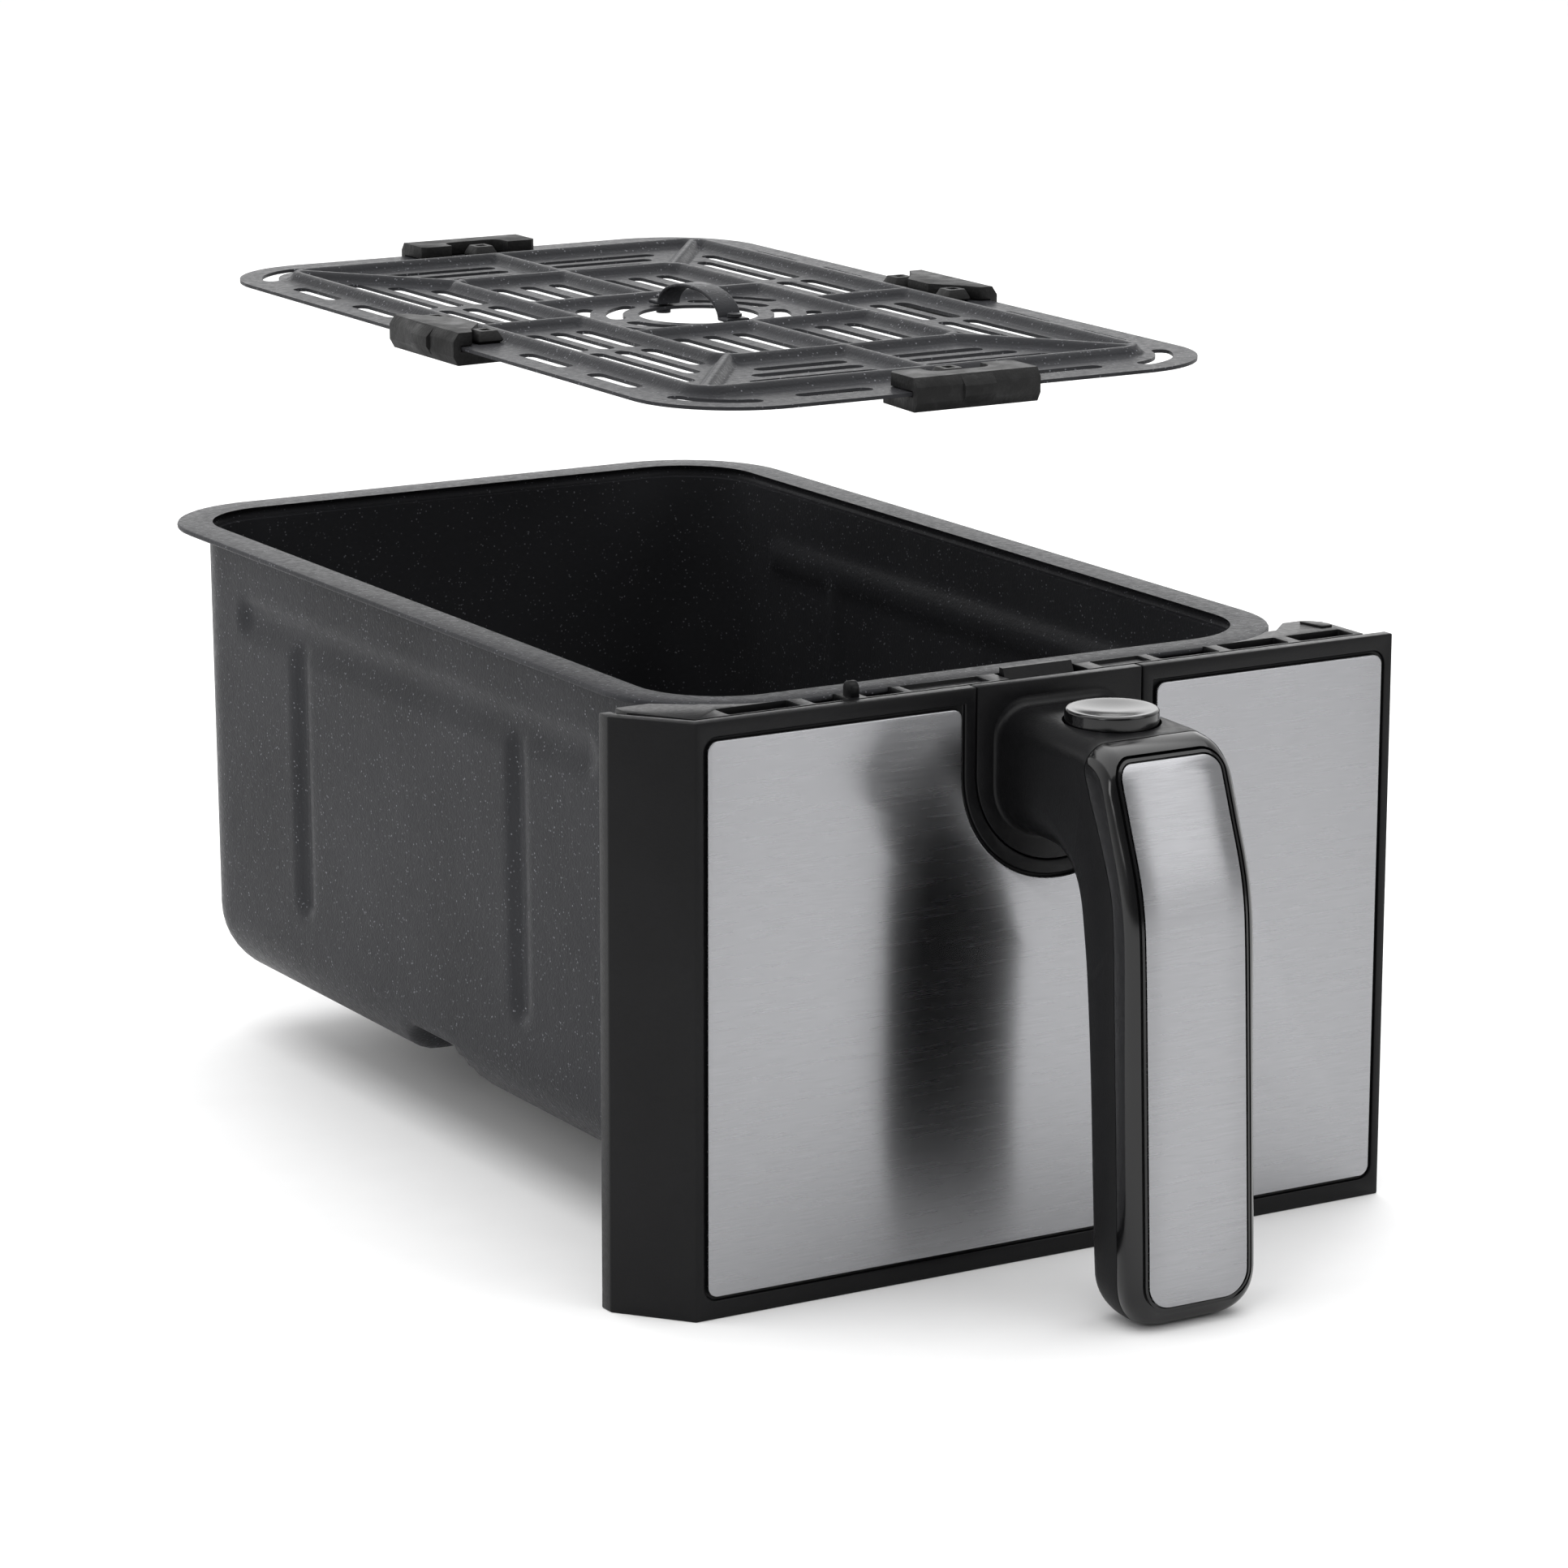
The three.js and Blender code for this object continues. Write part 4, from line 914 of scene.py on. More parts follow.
class DRAWER_OT_handle(Operator):
    """Build the rear shell of the handle with its base plate, the gloss bezel and the steel insert"""

    bl_idname = "drawer.make_handle"
    bl_label = "Make Handle"

    def execute(self, context):
        self.rear_shell()
        self.bezel()
        self.insert()
        return {"FINISHED"}

    def rear_shell(self):
        shell = skin("handle_shell", handle_rings())
        button = drawn((BUTTON_LOW + BUTTON_HIGH) / 2)
        well = prism("well", arc(button.x, button.y, WELL_RADIUS, 0, 360, 72)[:-1], "z", WELL_FLOOR, 126)
        front = prism("front", seam_outline(0), "x", -40, 40)
        carve(shell, front, well)
        soften(shell, 0.35, 2, 50)
        base = tongue(HANDLE_X, BASE_HALF, BASE_BOTTOM, FASCIA_TOP, 40)
        plate = prism("base_plate", base, "y", 0.02, WALL)
        soften(plate, 0.35, 2, 40)
        rings = [[(x, y, z) for x, z in self.boss_section(spread)] for spread, y in self.boss_flare()]
        carve(shell, plate, skin("flare", rings), operation="UNION")
        carve(shell, skin("hollow", handle_rings(SHELL_WALL)))
        finish_piece(shell, "satin_black_plastic", "drawer", ["handle_rear_shell"], 32)

    def boss_section(self, spread):
        """The neck's section in (x, z), grown at its foot on the base plate."""
        half, low, high = GRIP_HALF + spread * 0.35, 92.9 - spread * 0.6, 122.0 + spread
        head, foot = 7.5 + spread * 0.5, 12.5 + spread * 0.4
        return arched_rect(half, low, high, head, foot, 10)

    def boss_flare(self):
        """(spread, y) pairs of the concave fillet where the neck meets the base plate."""
        pairs = [(FLARE, 0.6)]
        for angle in np.radians(np.linspace(0, 90, 9)):
            pairs.append((FLARE * (1 - math.sin(angle)), -FLARE * (1 - math.cos(angle))))
        return pairs

    def front_slab(self, name, grow):
        """The insert's outline, grown and pushed right through the grip's front."""
        return prism(name, insert_outline(grow), "y", -80, -30)

    def trim(self, slab, near, far):
        """Keeps what lies between two depths behind the grip's front."""
        carve(slab, prism("layer", front_layer(near, far), "x", -30, 30), operation="INTERSECT")

    def bezel(self):
        body = skin("handle_bezel", handle_rings())
        keep = prism("keep", seam_outline(SEAM_GAP), "x", -40, 40)
        carve(body, keep, operation="INTERSECT")
        soften(body, 0.35, 2, 50)
        lip = self.front_slab("lip", LIP_OUTER)
        carve(lip, self.front_slab("ring", LIP_INNER))
        self.trim(lip, IN_FRONT, LIP_DEPTH)
        recess = self.front_slab("recess", INSERT_GAP)
        self.trim(recess, IN_FRONT, INSERT_SEAT)
        carve(body, recess, lip)
        finish_piece(body, "gloss_black_plastic", "drawer", ["handle_front_bezel"], 32)

    def insert(self):
        strip = self.front_slab("handle_insert", 0)
        self.trim(strip, INSERT_FRONT, INSERT_BACK)
        soften(strip, 0.25, 2, 40)
        map_brushing(strip)
        finish_piece(strip, "brushed_stainless", "drawer", ["handle_steel_insert"], 30)


BUTTON_RADIUS = 10.3
BUTTON_PROUD = 1.0
BUTTON_EDGE = 0.7
BUTTON_DISH = 0.75
BUTTON_SKIRT = 7.4
BUTTON_SIDES = 96
FLANGE_RADIUS = 11.5
FLANGE_THICK = 1.4
STEM_HALF = 3
POST_RADIUS = 2.2


class DRAWER_OT_button(Operator):
    """Build the dished release button"""

    bl_idname = "drawer.make_button"
    bl_label = "Make Button"

    def execute(self, context):
        centre = drawn((BUTTON_LOW + BUTTON_HIGH) / 2)
        top = drawn(BUTTON_HIGH).z + BUTTON_PROUD
        radius, edge, dish = BUTTON_RADIUS, BUTTON_EDGE, BUTTON_DISH
        foot = top - BUTTON_SKIRT
        profile = [(0, foot), (radius - 0.3, foot), (radius, top - 7.1), (radius, top - 4)]
        profile += [(radius - edge + edge * math.cos(a), top - edge + edge * math.sin(a))
                    for a in np.radians([0, 15, 30, 45, 60, 75, 90])]
        for t in np.linspace(0.08, 1, 14):
            profile.append(((radius - edge) * (1 - t), top - dish * (1 - (1 - t) ** 2) ** 1.5))
        points, faces = [], []
        for r, z in profile:
            reach = max(r, 0.001)
            for i in range(BUTTON_SIDES):
                a = 2 * math.pi * i / BUTTON_SIDES
                points.append((centre.x + reach * math.cos(a), centre.y + reach * math.sin(a), z))
        for level in range(len(profile) - 1):
            low, high = level * BUTTON_SIDES, (level + 1) * BUTTON_SIDES
            for i in range(BUTTON_SIDES):
                nxt = (i + 1) % BUTTON_SIDES
                faces.append((low + i, low + nxt, high + nxt, high + i))
        faces += [tuple(range(BUTTON_SIDES)), tuple(range(len(points) - BUTTON_SIDES, len(points)))]
        cap = mesh_object("button_cap", points, faces)
        carve(cap, *self.underside(centre, top), operation="UNION")
        finish_piece(cap, "gloss_black_plastic", "button", ["release_button"], 50)
        return {"FINISHED"}

    def underside(self, centre, top):
        """The flange that stops the button, its stem to the hook and the spring's post."""
        low, inside = drawn(BUTTON_LOW).z, top - 7.2
        disc = arc(centre.x, centre.y, FLANGE_RADIUS, 0, 360, 72)[:-1]
        flange = prism("flange", disc, "z", top - 7.0 - FLANGE_THICK, top - 7.0)
        bar = rounded_rect(centre.x - STEM_HALF, centre.x + STEM_HALF, centre.y + 5, centre.y + 8, 0.4, 2)
        stem = prism("stem", bar, "z", low, inside)
        rod = arc(centre.x, centre.y - 2.5, POST_RADIUS, 0, 360, 24)[:-1]
        return flange, stem, prism("post", rod, "z", low + 3.4, inside)


# ---------------------------------------------------------------- crisper plate
RIB_HALF = 2.7
RIB_OUTER_U = 13.7
RIB_OUTER_V = 19.0
RIB_INNER_U = 40.0
RIB_INNER_V = 54.3
RIB_CROSS = 25.0
PLATE_CORNER = 25.0
PLATE_STEP = 0.7
HOLE_RADIUS = 14.3
STUD_HOLE_HALF = 2.9
STUD_ROWS = {"side": 8.0, "end": 10.5, "apart": 12.0}


def mirrored(lines):
    """The four mirror images of each [u0, v0, u1, v1] line about the plate's middle."""
    signs = ((1, 1), (-1, 1), (1, -1), (-1, -1))
    return [(su * a, sv * b, su * c, sv * d) for su, sv in signs for a, b, c, d in lines]


def straight_slots():
    """Centre lines of the plate's straight slots, from its middle."""
    edge_u, edge_v = PLATE_HALF_X - 7.6, PLATE_HALF_Y - 9.3
    lines = [(edge_u, 33.5, edge_u, 50.5), (edge_u, 65.2, edge_u, 82.3), (22.5, edge_v, 37.7, edge_v)]
    for row in range(3):
        u = 36.6 + row * 6.8
        v = 77 + row * 7.05
        inner = 7.1 + row * 8
        lines += [(u, 10.5, u, 33), (u, 41, u, 62.5 + row * 9.5), (8.2, v, 28 + row * 4.7, v),
                  (inner, 32, inner, 57)]
    return mirrored(lines)


def slot_outline(line, half, steps=6):
    """A straight slot with round ends."""
    u0, v0, u1, v1 = line
    turn = math.degrees(math.atan2(v1 - v0, u1 - u0))
    return arc(u1, v1, half, turn - 90, turn + 90, steps) + arc(u0, v0, half, turn + 90, turn + 270, steps)


def curved_slot(cu, cv, radius, start, end, half, steps=14):
    """A slot bent round a centre, with round ends."""
    outer = arc(cu, cv, radius + half, start, end, steps)
    inner = arc(cu, cv, radius - half, end, start, steps)
    caps = []
    for angle, first in ((end, end), (start, start + 180)):
        turn = math.radians(angle)
        centre = (cu + radius * math.cos(turn), cv + radius * math.sin(turn))
        caps.append(arc(*centre, half, first, first + 180, 6))
    return outer[:-1] + caps[0][:-1] + inner[:-1] + caps[1][:-1]


def curved_slots(half):
    """The slots round the middle hole and in the plate's corners."""
    shapes = []
    for quarter in range(4):
        base = 90 * quarter
        turn = (base + 12, base + 62) if quarter % 2 == 0 else (base + 28, base + 78)
        shapes.append(curved_slot(0, 0, 20, *turn, half))
        turn = (base + 22, base + 42) if quarter % 2 == 0 else (base + 48, base + 68)
        shapes.append(curved_slot(0, 0, 27.5, *turn, half * 0.9))
    cu, cv = PLATE_HALF_X - PLATE_CORNER, PLATE_HALF_Y - PLATE_CORNER
    for su, sv, base in ((1, 1, 0), (-1, 1, 90), (-1, -1, 180), (1, -1, 270)):
        shapes.append(curved_slot(su * cu, sv * cv, PLATE_CORNER - 7.5, base + 15, base + 75, half))
    return shapes


def loop_distance(u, v, half_u, half_v, radius):
    """Distance from the centre line of a rounded rectangle."""
    qu = np.abs(u) - half_u + radius
    qv = np.abs(v) - half_v + radius
    outside = np.hypot(np.maximum(qu, 0), np.maximum(qv, 0))
    return np.abs(outside + np.minimum(np.maximum(qu, qv), 0) - radius)


def line_distance(u, v, u0, v0, u1, v1):
    """Distance from a straight line between two points."""
    du, dv = u1 - u0, v1 - v0
    t = np.clip(((u - u0) * du + (v - v0) * dv) / (du * du + dv * dv), 0, 1)
    return np.hypot(u - u0 - t * du, v - v0 - t * dv)


def rib_distance(u, v):
    """Distance from the nearest rib's centre line."""
    outer_u, outer_v = PLATE_HALF_X - RIB_OUTER_U, PLATE_HALF_Y - RIB_OUTER_V
    inner_u, inner_v = PLATE_HALF_X - RIB_INNER_U, PLATE_HALF_Y - RIB_INNER_V
    nearest = np.minimum(loop_distance(u, v, outer_u, outer_v, 6), loop_distance(u, v, inner_u, inner_v, 5))
    au, av = np.abs(u), np.abs(v)
    for line in ((0, RIB_CROSS, 0, outer_v), (0, RIB_CROSS, inner_u, RIB_CROSS), (inner_u, 0, outer_u, 0),
                 (inner_u - 2, inner_v - 2, outer_u - 2, outer_v - 2)):
        nearest = np.minimum(nearest, line_distance(au, av, *line))
    return nearest


def plate_height(sizes, u, v):
    """Height of the pressed sheet above its flat level."""
    return sizes.rib_height * (1 - smooth_step(rib_distance(u, v), 0.5, RIB_HALF))


def plate_points():
    """Plan points inside the plate: dense on the ribs, sparse on the flats."""
    u = np.arange(-PLATE_HALF_X + 4, PLATE_HALF_X - 3.9, PLATE_STEP)
    v = np.arange(-PLATE_HALF_Y + 4, PLATE_HALF_Y - 3.9, PLATE_STEP)
    uu, vv = np.meshgrid(u, v)
    near = rib_distance(uu, vv) < RIB_HALF + 0.5
    sparse = np.zeros_like(near)
    sparse[::6, ::6] = True
    chosen = near | sparse
    return np.column_stack([uu[chosen], vv[chosen]])


def inside_shape(points, shape):
    """Which points lie inside a closed outline."""
    inside = np.zeros(len(points), bool)
    x, y = points[:, 0], points[:, 1]
    for (x0, y0), (x1, y1) in zip(shape, shape[1:] + shape[:1]):
        crosses = (y0 > y) != (y1 > y)
        with np.errstate(divide="ignore", invalid="ignore"):
            at_x = (x1 - x0) * (y - y0) / (y1 - y0) + x0
        inside ^= crosses & (x < at_x)
    return inside


def stud_sites():
    """Centres of the square holes that the clips' studs come up through."""
    side, end, apart = PLATE_HALF_X - STUD_ROWS["side"], PLATE_HALF_Y - STUD_ROWS["end"], STUD_ROWS["apart"]
    sites = []
    for sign in (-1, 1):
        sites += [(sign * side, -apart), (sign * side, apart), (0, sign * end)]
    return sites


def plate_mesh(sizes):
    """Points and faces of the pressed sheet, with its slots and holes left open."""
    half = sizes.slot_width / 2
    outline = rounded_rect(-PLATE_HALF_X, PLATE_HALF_X, -PLATE_HALF_Y, PLATE_HALF_Y, PLATE_CORNER, 16)
    holes = [slot_outline(line, half) for line in straight_slots()] + curved_slots(half)
    holes.append(arc(0, 0, HOLE_RADIUS, 0, 360, 56)[:-1])
    stud = STUD_HOLE_HALF
    holes += [rounded_rect(u - stud, u + stud, v - stud, v + stud, 0.4, 2) for u, v in stud_sites()]
    free = plate_points()
    blocked = ~inside_shape(free, outline)
    off_rib = rib_distance(free[:, 0], free[:, 1]) > RIB_HALF + 0.4
    for hole in holes:
        box = np.array(hole)
        low, high = box.min(0) - 0.5, box.max(0) + 0.5
        blocked |= np.all((free > low) & (free < high), axis=1) & off_rib
        blocked |= inside_shape(free, hole)
    free = free[~blocked]
    points, edges = [], []
    for shape in [outline] + holes:
        start = len(points)
        clean = [p for i, p in enumerate(shape) if math.dist(p, shape[i - 1]) > 1e-4]
        points += clean
        edges += [(start + i, start + (i + 1) % len(clean)) for i in range(len(clean))]
    points += [tuple(p) for p in free]
    verts, _, faces, *_ = delaunay_2d_cdt([Vector(p) for p in points], edges, [], 0, 1e-5)
    flat = np.array([tuple(v) for v in verts])
    middle = np.array([flat[list(face)].mean(0) for face in faces])
    kept = inside_shape(middle, outline)
    for hole in holes:
        kept &= ~inside_shape(middle, hole)
    faces = [tuple(face) for face, keep in zip(faces, kept) if keep]
    rise = plate_height(sizes, flat[:, 0], flat[:, 1])
    top_z = PLATE_UNDER + sizes.plate_sheet
    place = np.column_stack([flat[:, 0] + PLATE_X, flat[:, 1] + PLATE_Y])
    top = np.column_stack([place, top_z + rise])
    bottom = np.column_stack([place, PLATE_UNDER + rise * 0.92])
    count = len(flat)
    rim = {edge: None for face in faces for edge in zip(face, face[1:] + face[:1])}
    walls = [(a, b, b + count, a + count) for a, b in rim if (b, a) not in rim]
    underside = [tuple(i + count for i in reversed(face)) for face in faces]
    return np.vstack([top, bottom]), faces + underside + walls


class DRAWER_OT_plate(Operator):
    """Build the pressed and slotted crisper plate"""

    bl_idname = "drawer.make_plate"
    bl_label = "Make Crisper Plate"

    def execute(self, context):
        points, faces = plate_mesh(context.scene.drawer_sizes)
        obj = mesh_object("pressed_plate", points, faces)
        clean_loose(obj)
        soften(obj, 0.25, 1, 50)
        finish_piece(obj, "nonstick_coated_steel", "plate", ["crisper_plate"], 42)
        return {"FINISHED"}


def clean_loose(obj):
    """Removes points that no face uses."""
    bm = bmesh.new()
    bm.from_mesh(obj.data)
    bmesh.ops.delete(bm, geom=[v for v in bm.verts if not v.link_faces], context="VERTS")
    bm.to_mesh(obj.data)
    bm.free()


LOOP_THICK = 0.9
LOOP_FOOT = 4.6


class DRAWER_OT_plate_loop(Operator):
    """Build the arched strip over the plate's middle hole"""

    bl_idname = "drawer.make_plate_loop"
    bl_label = "Make Plate Loop"

    def execute(self, context):
        low, high = (drawn(corner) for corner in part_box("plate_loop"))
        thick, foot, half = LOOP_THICK, LOOP_FOOT, (high.x - low.x) / 2
        span = (high.y - low.y) / 2
        crown = span - foot
        rise = (high.z - low.z - thick) / 0.75
        centre = [(-span, 0), (-span + 1.5, 0), (-crown - 1, 0)]
        centre += bezier((-crown, 0.15), (-crown + 0.8, rise), (crown - 0.8, rise), (crown, 0.15), 36)
        centre += [(crown, 0.15), (crown + 1, 0), (span - 1.5, 0), (span, 0)]
        path = flowing(centre, 2)
        rings = []
        for i, (v, z) in enumerate(path):
            ahead = path[min(i + 1, len(path) - 1)] - path[max(i - 1, 0)]
            ahead = ahead / np.linalg.norm(ahead)
            normal = np.array([-ahead[1], ahead[0]])
            ring = rounded_rect(-half, half, 0, thick, 0.35, 3)
            rings.append([(PLATE_X + u, PLATE_Y + v + normal[0] * w, low.z + z + normal[1] * w)
                          for u, w in ring])
        strip = skin("arched_loop", rings)
        finish_piece(strip, "nonstick_coated_steel", "plate", ["plate_loop"], 50)
        return {"FINISHED"}


# ---------------------------------------------------------------- clips
CLIP_HALF = 16.0
CLIP_OUT = 2.2
CLIP_TOP = 3.3
CLIP_FOOT = -4.3
CLIP_ROOT = -0.8
CLIP_REACH = 10.0
CLIP_UNDER_REACH = 13.5
NIB_HALF = 4.1
NIB_OUT = 0.85
STUD_HALF = 2.6
STUD_HEAD = 3.3
STUD_BORE = 1.2


def turned(obj, quarter_turns, edge):
    """Turns a piece drawn at the front edge, in (u, v, z) from the sheet's top, to its own edge."""
    angle = math.pi / 2 * quarter_turns
    c, s = round(math.cos(angle)), round(math.sin(angle))
    top_z = PLATE_UNDER + bpy.context.scene.drawer_sizes.plate_sheet
    for vertex in obj.data.vertices:
        u, v, z = drawn(vertex.co)
        v -= edge
        vertex.co = placed(PLATE_X + c * u - s * v, PLATE_Y + s * u + c * v, top_z + z)
    obj.data.update()
    return obj


def clip_solid(name, side, sizes):
    """One clip, drawn at the front edge: u along the edge, v inwards and z from the sheet's top."""
    under = -sizes.plate_sheet - CLEARANCE
    wall = prism(name, [(-CLEARANCE, CLIP_FOOT), (-CLEARANCE, CLIP_TOP), (-0.8, CLIP_TOP), (-CLIP_OUT, 1.3),
                        (-CLIP_OUT, -2.2), (-1.0, CLIP_FOOT)], "x", -CLIP_HALF, CLIP_HALF)
    if side:
        arm = [(-CLIP_HALF, CLIP_ROOT), (CLIP_HALF, CLIP_ROOT), (CLIP_HALF, 2.6), (CLIP_HALF - 4, 4.4),
               (4.6, 10.2), (-4.6, 10.2), (-CLIP_HALF + 4, 4.4), (-CLIP_HALF, 2.6)]
        apart = STUD_ROWS["apart"]
        studs = ((-apart, STUD_ROWS["side"]), (apart, STUD_ROWS["side"]))
    else:
        tip, web, corner = CLIP_HALF - 8, 4.6, 3.0
        arm = [(-CLIP_HALF, CLIP_ROOT), (CLIP_HALF, CLIP_ROOT), (CLIP_HALF, CLIP_REACH - 1.2),
               (CLIP_HALF - 1.2, CLIP_REACH), (tip, CLIP_REACH)]
        arm += arc(tip - corner, web + corner, corner, 0, -90, 6)
        arm += arc(-tip + corner, web + corner, corner, 270, 180, 6)
        arm += [(-tip, CLIP_REACH), (-CLIP_HALF + 1.2, CLIP_REACH), (-CLIP_HALF, CLIP_REACH - 1.2)]
        studs = ((0, STUD_ROWS["end"]),)
    top_arm = prism("top_arm", arm, "z", CLEARANCE, CLIP_TOP)
    foot = [(-CLIP_HALF, CLIP_ROOT), (CLIP_HALF, CLIP_ROOT), (CLIP_HALF - 1, CLIP_UNDER_REACH),
            (-CLIP_HALF + 1, CLIP_UNDER_REACH)]
    low_arm = prism("low_arm", foot, "z", CLIP_FOOT, under)
    nib = prism("nib", [(-0.5, CLIP_TOP - 0.4), (-1.1, CLIP_TOP - 0.4), (-CLIP_OUT - NIB_OUT, 0.9),
                        (-CLIP_OUT - NIB_OUT, -1.3), (-1.7, -3.2), (-0.5, -3.2)], "x", -NIB_HALF, NIB_HALF)
    carve(wall, top_arm, low_arm, nib, operation="UNION")
    for u, v in studs:
        carve(wall, stud_solid(u, v, under), operation="UNION")
    return soften(wall, 0.35, 2, 28)


def stud_solid(u, v, under):
    """A square stem through the sheet with a sloping, hollow head."""
    square = rounded_rect(u - STUD_HALF, u + STUD_HALF, v - STUD_HALF, v + STUD_HALF, 0.3, 2)
    stem = prism("stem", square, "z", under - 1, 1.0)
    levels = ((STUD_HEAD - 0.3, 0.3), (STUD_HEAD, 0.7), (STUD_HEAD - 0.2, 1.3),
              (STUD_HEAD - 1.0, CLIP_TOP - 0.4))
    head = skin("head", [[(u + a, v + b, z) for a, b in rounded_rect(-half, half, -half, half, 0.5, 2)]
                         for half, z in levels])
    bore = rounded_rect(u - STUD_BORE, u + STUD_BORE, v - STUD_BORE, v + STUD_BORE, 0.3, 2)
    hollow = prism("hollow", bore, "z", 1.4, CLIP_TOP + 1)
    carve(stem, head, operation="UNION")
    return carve(stem, hollow)


class DRAWER_OT_clips(Operator):
    """Build the four silicone clips on the plate's edges"""

    bl_idname = "drawer.make_clips"
    bl_label = "Make Clips"

    def execute(self, context):
        sizes = context.scene.drawer_sizes
        sites = (("clip_front", 0, PLATE_HALF_Y, False), ("clip_right", 1, PLATE_HALF_X, True),
                 ("clip_rear", 2, PLATE_HALF_Y, False), ("clip_left", 3, PLATE_HALF_X, True))
        for node, turns, edge, side in sites:
            clip = clip_solid("silicone_" + node, side, sizes)
            turned(clip, turns, edge)
            finish_piece(clip, "black_silicone", "plate", [node], 35)
        return {"FINISHED"}


# ---------------------------------------------------------------- carried-over nodes
class DRAWER_OT_hardware(Operator):
    """Give the screws, springs, latch and rivets their detailed finishes"""

    bl_idname = "drawer.finish_hardware"
    bl_label = "Finish Hardware"

    def execute(self, context):
        for part in frame["record"]["subparts"]:
            obj = bpy.data.objects.get(part["node"])
            if obj is None:
                raise RuntimeError("no CAD object for " + part["node"])
            material = finish_of(part["material_slot"])
            for slot in obj.material_slots:
                slot.material = material
        return {"FINISHED"}


# ---------------------------------------------------------------- stage
FLOOR_HALF = 6.0
LIGHT_AIM = (0, 0, 0.1)
# Each light's place and size in metres, and its share of the key power.
LIGHTS = (
    ("overhead", (0.0, 0.0, 2.2), (3.4, 3.4), 4.2),
    ("front", (0.95, -1.45, 0.85), (1.1, 0.9), 0.42),
    ("front_left", (-1.7, -1.2, 1.1), (0.5, 0.8), 0.4),
    ("behind", (0.9, 1.5, 0.8), (1.6, 0.6), 0.15),
)
WORLD_STRENGTH = (0.12, 1.65)


def view_axes(studio):
    """Right, up and backward directions of the camera."""
    az, el = studio.azimuth, studio.elevation
    back = Vector((math.sin(az) * math.cos(el), -math.cos(az) * math.cos(el), math.sin(el)))
    right = Vector((0, 0, 1)).cross(back).normalized()
    up = back.cross(right)
    c, s = math.cos(studio.roll), math.sin(studio.roll)
    return c * right + s * up, -s * right + c * up, back


def add_light(name, place, size, power):
    """A rectangular light turned to the object."""
    light = bpy.data.lights.new(name, "AREA")
    light.shape = "RECTANGLE"
    light.size, light.size_y = size
    light.energy = power
    obj = bpy.data.objects.new(name, light)
    obj.location = place
    obj.rotation_euler = (Vector(LIGHT_AIM) - Vector(place)).to_track_quat("-Z", "Y").to_euler()
    bpy.context.scene.collection.objects.link(obj)


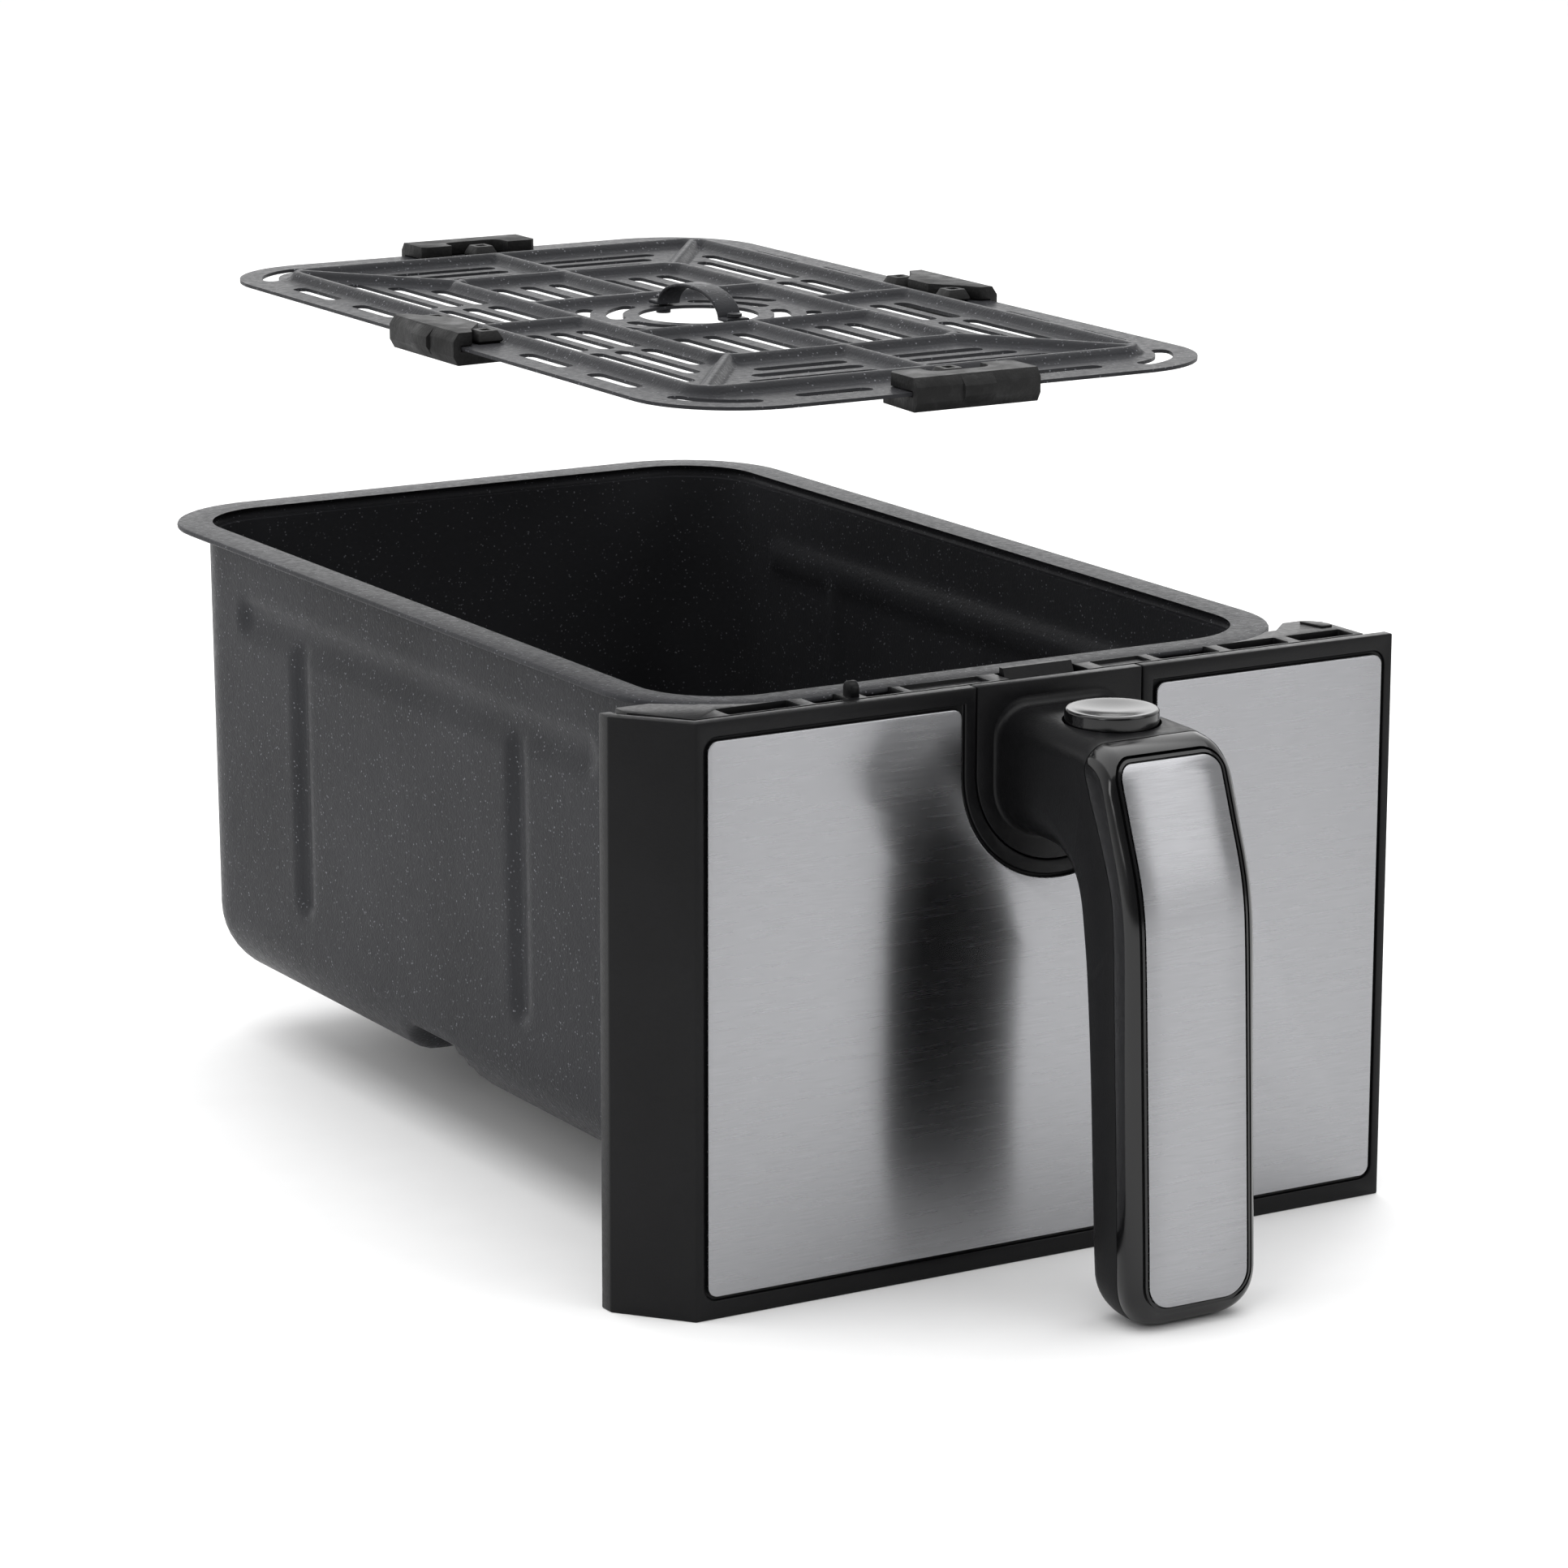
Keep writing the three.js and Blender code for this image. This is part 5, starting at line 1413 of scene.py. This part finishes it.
class DRAWER_OT_stage(Operator):
    """Set the camera, the pale floor and the soft lights"""

    bl_idname = "drawer.make_stage"
    bl_label = "Make Stage"

    def execute(self, context):
        self.camera(context.scene)
        self.floor()
        self.lights(context.scene)
        return {"FINISHED"}

    def camera(self, scene):
        studio = scene.drawer_studio
        right, up, back = view_axes(studio)
        data = bpy.data.cameras.new("view")
        data.sensor_width = 36
        data.lens = studio.lens
        data.clip_end = 20
        obj = bpy.data.objects.new("view", data)
        place = ORIGIN + right * studio.right + up * studio.up + back * studio.distance
        obj.matrix_world = Matrix.Translation(place) @ Matrix((right, up, back)).transposed().to_4x4()
        scene.collection.objects.link(obj)
        scene.camera = obj

    def floor(self):
        half = FLOOR_HALF
        corners = [(-half, -half, 0), (half, -half, 0), (half, half, 0), (-half, half, 0)]
        mesh = bpy.data.meshes.new("studio_floor")
        mesh.from_pydata(corners, [], [(0, 1, 2, 3)])
        mesh.materials.append(floor_finish(bpy.context.scene.drawer_colours))
        obj = bpy.data.objects.new("studio_floor", mesh)
        bpy.context.scene.collection.objects.link(obj)

    def lights(self, scene):
        for name, place, size, share in LIGHTS:
            add_light(name, place, size, scene.drawer_studio.key_power * share)
        scene.view_settings.view_transform = "Standard"
        world = bpy.data.worlds.new("soft_room")
        world.use_nodes = True
        nodes, links = world.node_tree.nodes, world.node_tree.links
        direction = nodes.new("ShaderNodeTexCoord")
        split = nodes.new("ShaderNodeSeparateXYZ")
        links.new(direction.outputs["Generated"], split.inputs["Vector"])
        ramp = nodes.new("ShaderNodeMapRange")
        ramp.interpolation_type = "SMOOTHSTEP"
        weakest, strongest = WORLD_STRENGTH
        for name, value in (("From Min", -1), ("From Max", 1), ("To Min", weakest), ("To Max", strongest)):
            ramp.inputs[name].default_value = value
        links.new(split.outputs["Y"], ramp.inputs["Value"])
        background = nodes["Background"]
        background.inputs["Color"].default_value = (1, 1, 1, 1)
        links.new(ramp.outputs["Result"], background.inputs["Strength"])
        scene.world = world


# ---------------------------------------------------------------- panel and registration
STEPS = (
    DRAWER_OT_stage, DRAWER_OT_hardware, DRAWER_OT_pan, DRAWER_OT_fascia, DRAWER_OT_steel_panel,
    DRAWER_OT_inner_frame, DRAWER_OT_handle, DRAWER_OT_button, DRAWER_OT_plate, DRAWER_OT_plate_loop,
    DRAWER_OT_clips,
)


class DRAWER_PT_build(Panel):
    """Lists the settings and the building steps"""

    bl_idname = "DRAWER_PT_build"
    bl_label = "Air Fryer Drawer"
    bl_space_type = "VIEW_3D"
    bl_region_type = "UI"
    bl_category = "Drawer"

    def draw(self, context):
        scene = context.scene
        for title, group in (("Sizes", scene.drawer_sizes), ("Colours", scene.drawer_colours),
                             ("Studio", scene.drawer_studio)):
            box = self.layout.box()
            box.label(text=title)
            for name in group.__annotations__:
                box.prop(group, name)
        for step in STEPS:
            self.layout.operator(step.bl_idname)


SETTINGS = {"drawer_sizes": DrawerSizes, "drawer_colours": DrawerColours, "drawer_studio": DrawerStudio}


def register():
    for cls in (*SETTINGS.values(), *STEPS, DRAWER_PT_build):
        bpy.utils.register_class(cls)
    for name, group in SETTINGS.items():
        setattr(bpy.types.Scene, name, PointerProperty(type=group))


def unregister():
    for name in SETTINGS:
        delattr(bpy.types.Scene, name)
    for cls in (DRAWER_PT_build, *reversed(STEPS), *reversed(tuple(SETTINGS.values()))):
        bpy.utils.unregister_class(cls)


def main():
    register()
    for step in STEPS:
        group, name = step.bl_idname.split(".")
        getattr(getattr(bpy.ops, group), name)()


if __name__ == "__main__":
    main()
